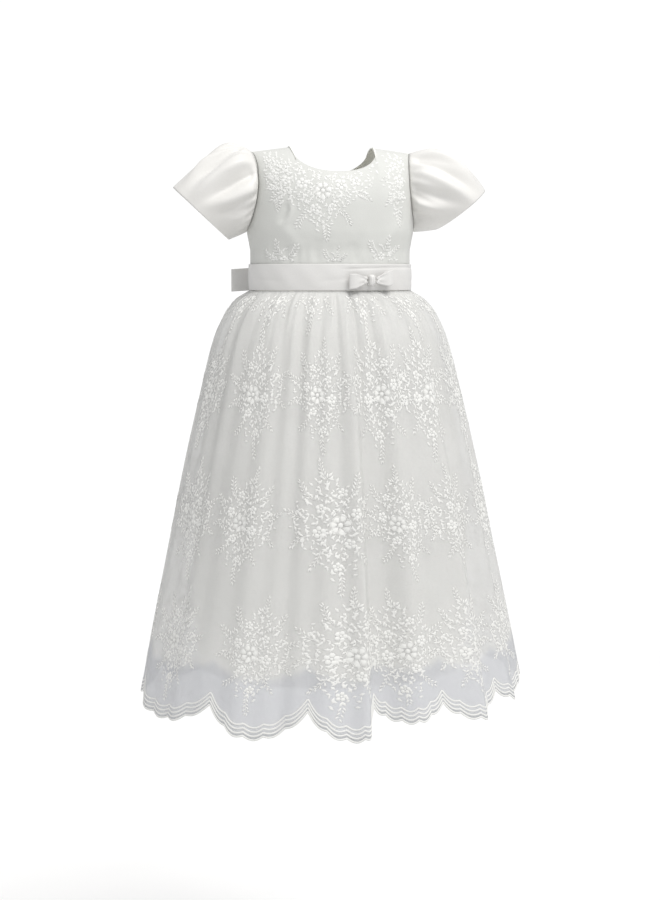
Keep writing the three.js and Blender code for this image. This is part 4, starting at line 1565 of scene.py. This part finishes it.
def sewn(rows: Sequence[tuple[float, float]], daisies: Sequence[tuple], blossoms: Sequence[tuple],
         fronds: Sequence[tuple], step: float = 3.9) -> StitchWork:
    """Draws a spray of flowers in a thicket of leaves, with fronds that stand out of it.

    Args:
        rows: Height and half width of the thicket, from its foot up.
        daisies: Centre, radius and number of petals of each corded flower.
        blossoms: Centre, radius and turn of each small flower.
        fronds: Start, end, bow, pairs of leaves and leaf length of each frond.
        step: Distance between the thicket's leaves.

    Returns:
        The drawn stitches.
    """
    work = StitchWork()
    for draw, rows_of in ((work.daisy, daisies), (work.blossom, blossoms), (work.frond, fronds)):
        for row in rows_of:
            draw(*row)
    work.thicket(rows, step, 5.2, [(np.array(flower[0]), flower[1]) for flower in (*daisies, *blossoms)])
    return work


def skirt_spray() -> StitchWork:
    """Draws the skirt's upright flower spray, widest at its middle and ending in a hanging tail."""
    return sewn(
        rows=[(-48, 6), (-42, 9), (-34, 11), (-26, 14), (-20, 22), (-12, 28), (0, 32), (12, 30), (22, 24),
              (30, 17), (38, 12), (45, 8)],
        daisies=[((4, 0), 8.5, 7)],
        blossoms=[((-13, -4), 6.0, 0.3), ((18, 9), 5.5, 0.9), ((-9, 16), 5.0, 0.1), ((9, -17), 5.0, 0.5),
                  ((-3, -36), 4.6, 0.2), ((10, 28), 4.4, 0.4)],
        fronds=[((0, 40), (-4, 57), 2.0, 5, 5.5), ((14, 24), (24, 41), -2.0, 5, 5.5),
                ((-13, 24), (-23, 41), 2.0, 5, 5.5), ((24, 12), (39, 20), -1.5, 4, 5.5),
                ((-24, 10), (-39, 18), 1.5, 4, 5.5), ((25, -4), (39, -9), 1.5, 4, 5.5),
                ((-24, -6), (-38, -14), -1.5, 4, 5.5), ((14, -22), (25, -35), -1.5, 4, 5.5),
                ((-14, -20), (-24, -34), 1.5, 4, 5.5), ((-2, -44), (-4, -59), 1.0, 4, 5.0)],
    )


def yoke_spray() -> StitchWork:
    """Draws the bodice's middle spray, pointing down from the neck."""
    return sewn(
        rows=[(-38, 3), (-30, 9), (-20, 17), (-10, 27), (0, 38), (10, 45), (20, 47), (30, 47)],
        daisies=[((0, 2), 8.5, 7)],
        blossoms=[((-19, 9), 6.0, 0.4), ((18, 8), 6.0, 0.9), ((-7, -15), 5.0, 0.1), ((-34, 12), 5.0, 0.6),
                  ((33, 11), 5.0, 0.2), ((9, -14), 4.6, 0.5)],
        fronds=[((1, -28), (3, -43), 1.0, 5, 5.5), ((-14, -18), (-24, -31), -1.5, 5, 5.5),
                ((15, -16), (25, -28), 1.5, 5, 5.5), ((-32, 0), (-46, -6), -1.5, 5, 5.5),
                ((32, 0), (45, -6), 1.5, 5, 5.5)],
        step=3.3,
    )


def side_spray() -> StitchWork:
    """Draws the bodice's side spray, running down from the shoulder."""
    return sewn(
        rows=[(-30, 2), (-20, 6), (-8, 10), (6, 13), (20, 13), (32, 11), (42, 8)],
        daisies=[],
        blossoms=[((1, 8), 6.0, 0.3), ((6, -8), 5.0, 0.3), ((-6, 22), 5.0, 0.8), ((6, 31), 4.6, 0.1)],
        fronds=[((2, -20), (3, -37), -1.0, 5, 5.5), ((-6, -6), (-13, -18), 1.0, 4, 5.5),
                ((-10, 12), (-18, 6), 1.0, 3, 5.0)],
        step=3.3,
    )


def waist_sprig() -> StitchWork:
    """Draws the small sprig above the sash."""
    return sewn(
        rows=[(-12, 14), (-6, 11), (0, 6), (4, 3)],
        daisies=[],
        blossoms=[((1, -7), 4.6, 0.3)],
        fronds=[((0, -4), (-6, 11), 2.0, 5, 5.5), ((3, -6), (13, 6), -1.5, 5, 5.5),
                ((-4, -7), (-17, 2), 1.5, 5, 5.5)],
    )


@dataclass(frozen=True)
class SprayRow:
    """A row of skirt sprays.

    Args:
        drop: Drop of their middles below the waist seam, in millimetres.
        squeeze: How far the gathers draw the cloth together there.
        front: Angles of the sprays on the front panel.
        back: Angles of the sprays on the back panel.
    """

    drop: float
    squeeze: float
    front: tuple[float, ...]
    back: tuple[float, ...]


SPRAY_ROWS = (
    SprayRow(-16, 0.70, (-68, -40, -14, 13, 40, 68), (105, 131, 157, 184, 211, 238, 260)),
    SprayRow(102, 0.72, (-72, -40, -12, 14, 36, 66), (106, 134, 162, 190, 218, 246)),
    SprayRow(228, 0.86, (-66, -39, -8, 18, 40, 68), (106, 134, 162, 190, 218, 246)),
    SprayRow(352, 0.95, (-64, -31, -5, 15, 38, 64), (106, 134, 162, 194, 225, 254)),
)


class Embroidery:
    """White thread work on the net and the bodice, and the corded border along the hem."""

    border: tuple[float, ...] = (1.0, 4.6, 8.6, 12.6)
    border_half_width: float = 1.05
    border_end: float = 0.012

    def __init__(self, skirt: SkirtForm, bodice: Bodice) -> None:
        """Takes the shapes that carry the embroidery."""
        self.skirt = skirt
        self.bodice = bodice
        self.pieces: dict[str, bpy.types.Object] = {}

    def on_skirt(self, work: StitchWork, row: SprayRow, angle: float) -> tuple[Array, Array, Array]:
        """Lays a spray on the net.

        Args:
            work: The drawn spray.
            row: The row that it is in.
            angle: Its angle round the skirt.

        Returns:
            Points, faces and cloth coordinates of the stitches that lie on the panel.
        """
        flat, faces = work.drawn()
        lean = 0.16 * math.sin(1.7 * angle + row.drop)
        size = 1.02 + 0.08 * math.sin(2.3 * angle + 0.5 * row.drop)
        hand = 1 if math.sin(0.9 * angle + row.drop) > 0 else -1
        across = size * (hand * flat[:, 0] * math.cos(lean) - flat[:, 1] * math.sin(lean))
        drop = row.drop - size * (hand * flat[:, 0] * math.sin(lean) + flat[:, 1] * math.cos(lean))
        around = self.skirt.net.read("half_width", np.maximum(drop, 0)) * 0.95
        degrees = angle + np.degrees(across * row.squeeze / around)
        seam = np.abs(np.mod(degrees + 90, 180) - 90)
        edge = self.skirt.edge(self.skirt.place_of(degrees))
        bad = (drop < 4) | (drop > edge - 15.5) | (np.abs(seam - 90) < 0.5)
        bad |= np.sign(np.cos(np.radians(degrees))) != np.sign(math.cos(math.radians(angle)))
        normal = -normals_of(self.skirt.net_point, degrees, drop, 0.05, 0.1)
        points = self.skirt.net_point(degrees, drop) + normal * flat[:, 2:3]
        return work.trimmed(points, faces[:, ::hand], bad)

    def on_bodice(self, side: str, work: StitchWork, place: tuple[float, float], lean: float, hand: int,
                  size: float) -> tuple[Array, Array, Array]:
        """Lays a spray on the bodice.

        Args:
            side: Front or back.
            work: The drawn spray.
            place: Sideways place and height of its middle.
            lean: Turn in degrees.
            hand: 1, or -1 for its mirror image.
            size: Scale.

        Returns:
            Points, faces and cloth coordinates of the stitches that lie on the panel.
        """
        flat, faces = work.drawn()
        turn = math.radians(lean)
        across = flat[:, 0] * hand * size
        up = flat[:, 1] * size
        x = place[0] + across * math.cos(turn) - up * math.sin(turn)
        z = place[1] + across * math.sin(turn) + up * math.cos(turn)
        form = self.bodice.form
        skin = self.bodice.skin(side)
        points = skin(x, z)
        normal = normals_of(skin, x, z, 0.1, 0.1)
        normal = normal * np.sign(normal[:, 1:2]) * (1 if side == "back" else -1)
        neck = form.neck_drop(side)
        inside = np.maximum(0, 1 - np.clip(np.abs(x) / form.neck_half_width, 0, 1) ** form.neck_roundness)
        brim = np.where(np.abs(x) < form.neck_half_width, -neck * inside ** (1 / form.neck_roundness), 0) - 1.5
        bad = (z > np.minimum(brim, -3.0)) | (z < form.waist_z + 28) | (np.abs(x) > 74)
        if side == "back":
            bad |= np.abs(x) < 1.0
        return work.trimmed(points + normal * (flat[:, 2:3] + 0.05), faces[:, ::hand], bad)

    def border_cord(self, start: int, offset: float) -> tuple[Array, Array, Array]:
        """Lays one corded line along the scalloped edge of a panel."""
        end = start + self.skirt.panel_scallops
        place = np.linspace(start + self.border_end, end - self.border_end, 481)
        angle, drop = self.skirt.angle_of(place), self.skirt.edge(place) - offset
        middle = self.skirt.net_point(angle, drop)
        run = unit(np.gradient(middle, axis=0))
        normal = -normals_of(self.skirt.net_point, angle, drop, 0.05, 0.1)
        aside = unit(np.cross(normal, run))
        shape = ((-1.0, -0.3), (-0.55, 0.32), (0.55, 0.32), (1.0, -0.3))
        rings = np.stack([middle + aside * self.border_half_width * s + normal * h for s, h in shape], axis=1)
        count, sides = rings.shape[:2]
        step, corner = np.meshgrid(np.arange(count - 1), np.arange(sides), indexing="ij")
        after = (corner + 1) % sides
        lower = np.stack([step * sides + corner, step * sides + after, (step + 1) * sides + after], axis=-1)
        upper = np.stack([step * sides + corner, (step + 1) * sides + after, (step + 1) * sides + corner], axis=-1)
        end = (count - 1) * sides
        caps = np.array([[0, 2, 1], [0, 3, 2], [end, end + 1, end + 2], [end, end + 2, end + 3]])
        faces = np.concatenate([lower.reshape(-1, 3), upper.reshape(-1, 3), caps])
        way = np.concatenate([[0], np.cumsum(np.linalg.norm(np.diff(middle, axis=0), axis=1))])
        uv = np.column_stack([np.repeat(way, sides), np.tile(np.arange(sides), count)])
        return rings.reshape(-1, 3), faces, uv

    def join(self, name: str, parts: Iterable[tuple[Array, Array, Array]]) -> bpy.types.Object:
        """Joins sewn parts as one piece."""
        points, faces, uvs, count = [], [], [], 0
        for part_points, part_faces, part_uv in parts:
            points.append(part_points)
            faces.append(self.turned_out(part_points, part_faces) + count)
            uvs.append(part_uv)
            count += len(part_points)
        joined = np.concatenate(faces)
        return make_piece(name, np.concatenate(points), joined, np.concatenate(uvs)[joined] * MILLIMETRE)

    @staticmethod
    def turned_out(points: Array, faces: Array) -> Array:
        """Faces of a part, turned so that they point outwards."""
        centred = points - points.mean(axis=0)
        cross = np.cross(centred[faces[:, 1]], centred[faces[:, 2]])
        volume = float(np.einsum("ij,ij->", centred[faces[:, 0]], cross))
        return faces if volume > 0 else faces[:, ::-1]

    def build(self) -> None:
        """Sews the skirt's sprays and border, and the bodice's sprays."""
        spray = skirt_spray()
        for half, side in enumerate(("front", "back")):
            name = f"skirt_embroidery_{side}"
            self.pieces[name] = self.join(
                name, [self.on_skirt(spray, row, angle) for row in SPRAY_ROWS for angle in getattr(row, side)])
            name = f"hem_border_{side}"
            start = half * self.skirt.panel_scallops
            self.pieces[name] = self.join(name, [self.border_cord(start, offset) for offset in self.border])
        yoke, edge, sprig = yoke_spray(), side_spray(), waist_sprig()
        laid = {
            "front": (
                (yoke, (-17, -49), 0, 1, 1.05),
                (edge, (64, -42), -4, 1, 1.0),
                (edge, (-63, -36), 8, -1, 0.8),
                (sprig, (-56, -109), 0, 1, 1.0),
                (sprig, (45, -105), 0, -1, 1.0),
                (sprig, (-6, -112), 0, -1, 0.7),
            ),
            "back": (
                (edge, (22, -48), 10, 1, 1.0),
                (edge, (-22, -48), -10, -1, 1.0),
                (edge, (62, -38), -4, 1, 1.0),
                (edge, (-62, -38), 4, -1, 1.0),
                (sprig, (46, -110), 0, 1, 1.0),
                (sprig, (-46, -110), 0, -1, 1.0),
            ),
        }
        for side, sprays in laid.items():
            name = f"bodice_embroidery_{side}"
            self.pieces[name] = self.join(name, [self.on_bodice(side, *spray) for spray in sprays])

    def dress(self, shop: Workshop) -> None:
        """Gives the embroidery its thread."""
        for name, piece in self.pieces.items():
            shop.dress(piece, WHITE_THREAD, Slot.BODICE if name.startswith("bodice") else Slot.NET)


@dataclass(frozen=True)
class Studio:
    """Pale floor, soft light and the camera of the picture.

    Args:
        floor_z: Height of the floor, in metres.
        azimuth: Camera's angle round the gown, in degrees.
        distance: Camera's distance from the gown's axis.
        camera_z: Camera's height.
        aim_z: Height that it looks at on the axis.
        lens: Focal length in millimetres.
        ambient: Strength of the even light all round.
        sun: Strength of the soft light from above, in front and to the picture's right.
        sun_tilt: Tilt of that light from straight down, in degrees.
        sun_turn: Its turn about the upright axis, in degrees.
        sun_spread: How broad it is, in degrees.
        top_light: Power of the broad lamp near the shoulders, in watts.
        lamp_place: Where that lamp stands.
        lamp_tilt: Its tilt from straight down, in degrees.
        lamp_turn: Its turn about the upright axis, in degrees.
        lamp_size: Its width.
        floor_size: The floor's width.
    """

    floor_z: float = -1.0
    azimuth: float = -9.0
    distance: float = 1.8
    camera_z: float = -0.131
    aim_z: float = -0.315
    lens: float = 68.56
    ambient: float = 0.62
    sun: float = 1.8
    sun_tilt: float = 29.0
    sun_turn: float = 32.0
    sun_spread: float = 34.0
    top_light: float = 2.4
    lamp_place: tuple[float, float, float] = (0.22, -0.55, 0.6)
    lamp_tilt: float = 38.0
    lamp_turn: float = 20.0
    lamp_size: float = 0.6
    floor_size: float = 5.0

    def build(self) -> None:
        """Sets up the floor, light and camera."""
        self.lay_floor()
        self.light()
        self.place_camera()

    def lay_floor(self) -> None:
        """Lays the pale floor."""
        bpy.ops.object.select_all(action="DESELECT")
        bpy.ops.mesh.primitive_plane_add(size=self.floor_size, location=(0, 0, self.floor_z))
        floor = bpy.context.object
        floor.name = "studio_floor"
        desk = NodeDesk("pale_floor")
        shader = desk.cloth(0.9, 0.0, 0.1)
        faint = desk.noise(desk.coordinates(1.0, use_uv=False), 3.0)
        desk.link(desk.ramp(faint, (0.93, 0.93, 0.93), (0.95, 0.95, 0.95)), shader.inputs["Base Color"])
        floor.data.materials.append(desk.material)

    def light(self) -> None:
        """Sets the even light, the soft light from above and the lamp near the shoulders."""
        world = bpy.data.worlds.new("soft_studio")
        bpy.context.scene.world = world
        world.use_nodes = True
        tree = world.node_tree
        tree.nodes.clear()
        output = tree.nodes.new("ShaderNodeOutputWorld")
        seen, cast = tree.nodes.new("ShaderNodeBackground"), tree.nodes.new("ShaderNodeBackground")
        seen.inputs["Strength"].default_value = 1.05
        seen.inputs["Color"].default_value = (1, 1, 1, 1)
        cast.inputs["Color"].default_value = (0.985, 0.99, 1, 1)
        cast.inputs["Strength"].default_value = self.ambient
        choose, path = tree.nodes.new("ShaderNodeMixShader"), tree.nodes.new("ShaderNodeLightPath")
        tree.links.new(path.outputs["Is Camera Ray"], choose.inputs["Fac"])
        tree.links.new(cast.outputs["Background"], choose.inputs[1])
        tree.links.new(seen.outputs["Background"], choose.inputs[2])
        tree.links.new(choose.outputs["Shader"], output.inputs["Surface"])
        tilt, turn = math.radians(self.sun_tilt), math.radians(self.sun_turn)
        bpy.ops.object.light_add(type="SUN", rotation=(tilt, 0, turn))
        sun = bpy.context.object
        sun.name = "soft_overhead"
        sun.data.energy = self.sun
        sun.data.angle = math.radians(self.sun_spread)
        sun.data.color = (1.0, 0.985, 0.96)
        tilt, turn = math.radians(self.lamp_tilt), math.radians(self.lamp_turn)
        bpy.ops.object.light_add(type="AREA", location=self.lamp_place, rotation=(tilt, 0, turn))
        lamp = bpy.context.object
        lamp.name = "top_softbox"
        lamp.data.energy = self.top_light
        lamp.data.size = self.lamp_size

    def place_camera(self) -> None:
        """Places the camera and makes it the scene's."""
        turn = math.radians(self.azimuth)
        place = (self.distance * math.sin(turn), -self.distance * math.cos(turn), self.camera_z)
        tilt = math.atan2(self.aim_z - self.camera_z, self.distance)
        bpy.ops.object.camera_add(location=place, rotation=(math.pi / 2 + tilt, 0, turn))
        camera = bpy.context.object
        camera.name = "picture_camera"
        camera.data.lens = self.lens
        camera.data.sensor_width = 36
        camera.data.clip_end = 200
        bpy.context.scene.camera = camera
        bpy.context.scene.view_settings.view_transform = "Standard"


def main() -> None:
    """Builds and dresses the gown, and sets up the studio."""
    logging.basicConfig(level=logging.INFO, format="%(name)s: %(message)s")
    shop = Workshop()
    bodice_form, skirt_form = BodiceForm(), SkirtForm()
    bodice, sash = Bodice(bodice_form), Sash(bodice_form)
    parts = [
        bodice,
        Sleeves(bodice_form),
        sash,
        Skirt(skirt_form),
        Bow(FRONT_BOW, sash),
        Bow(BACK_BOW, sash),
        Tails(skirt_form),
        Embroidery(skirt_form, bodice),
    ]
    for part in parts:
        part.build()
        part.dress(shop)
    Studio().build()


if __name__ == "__main__":
    main()
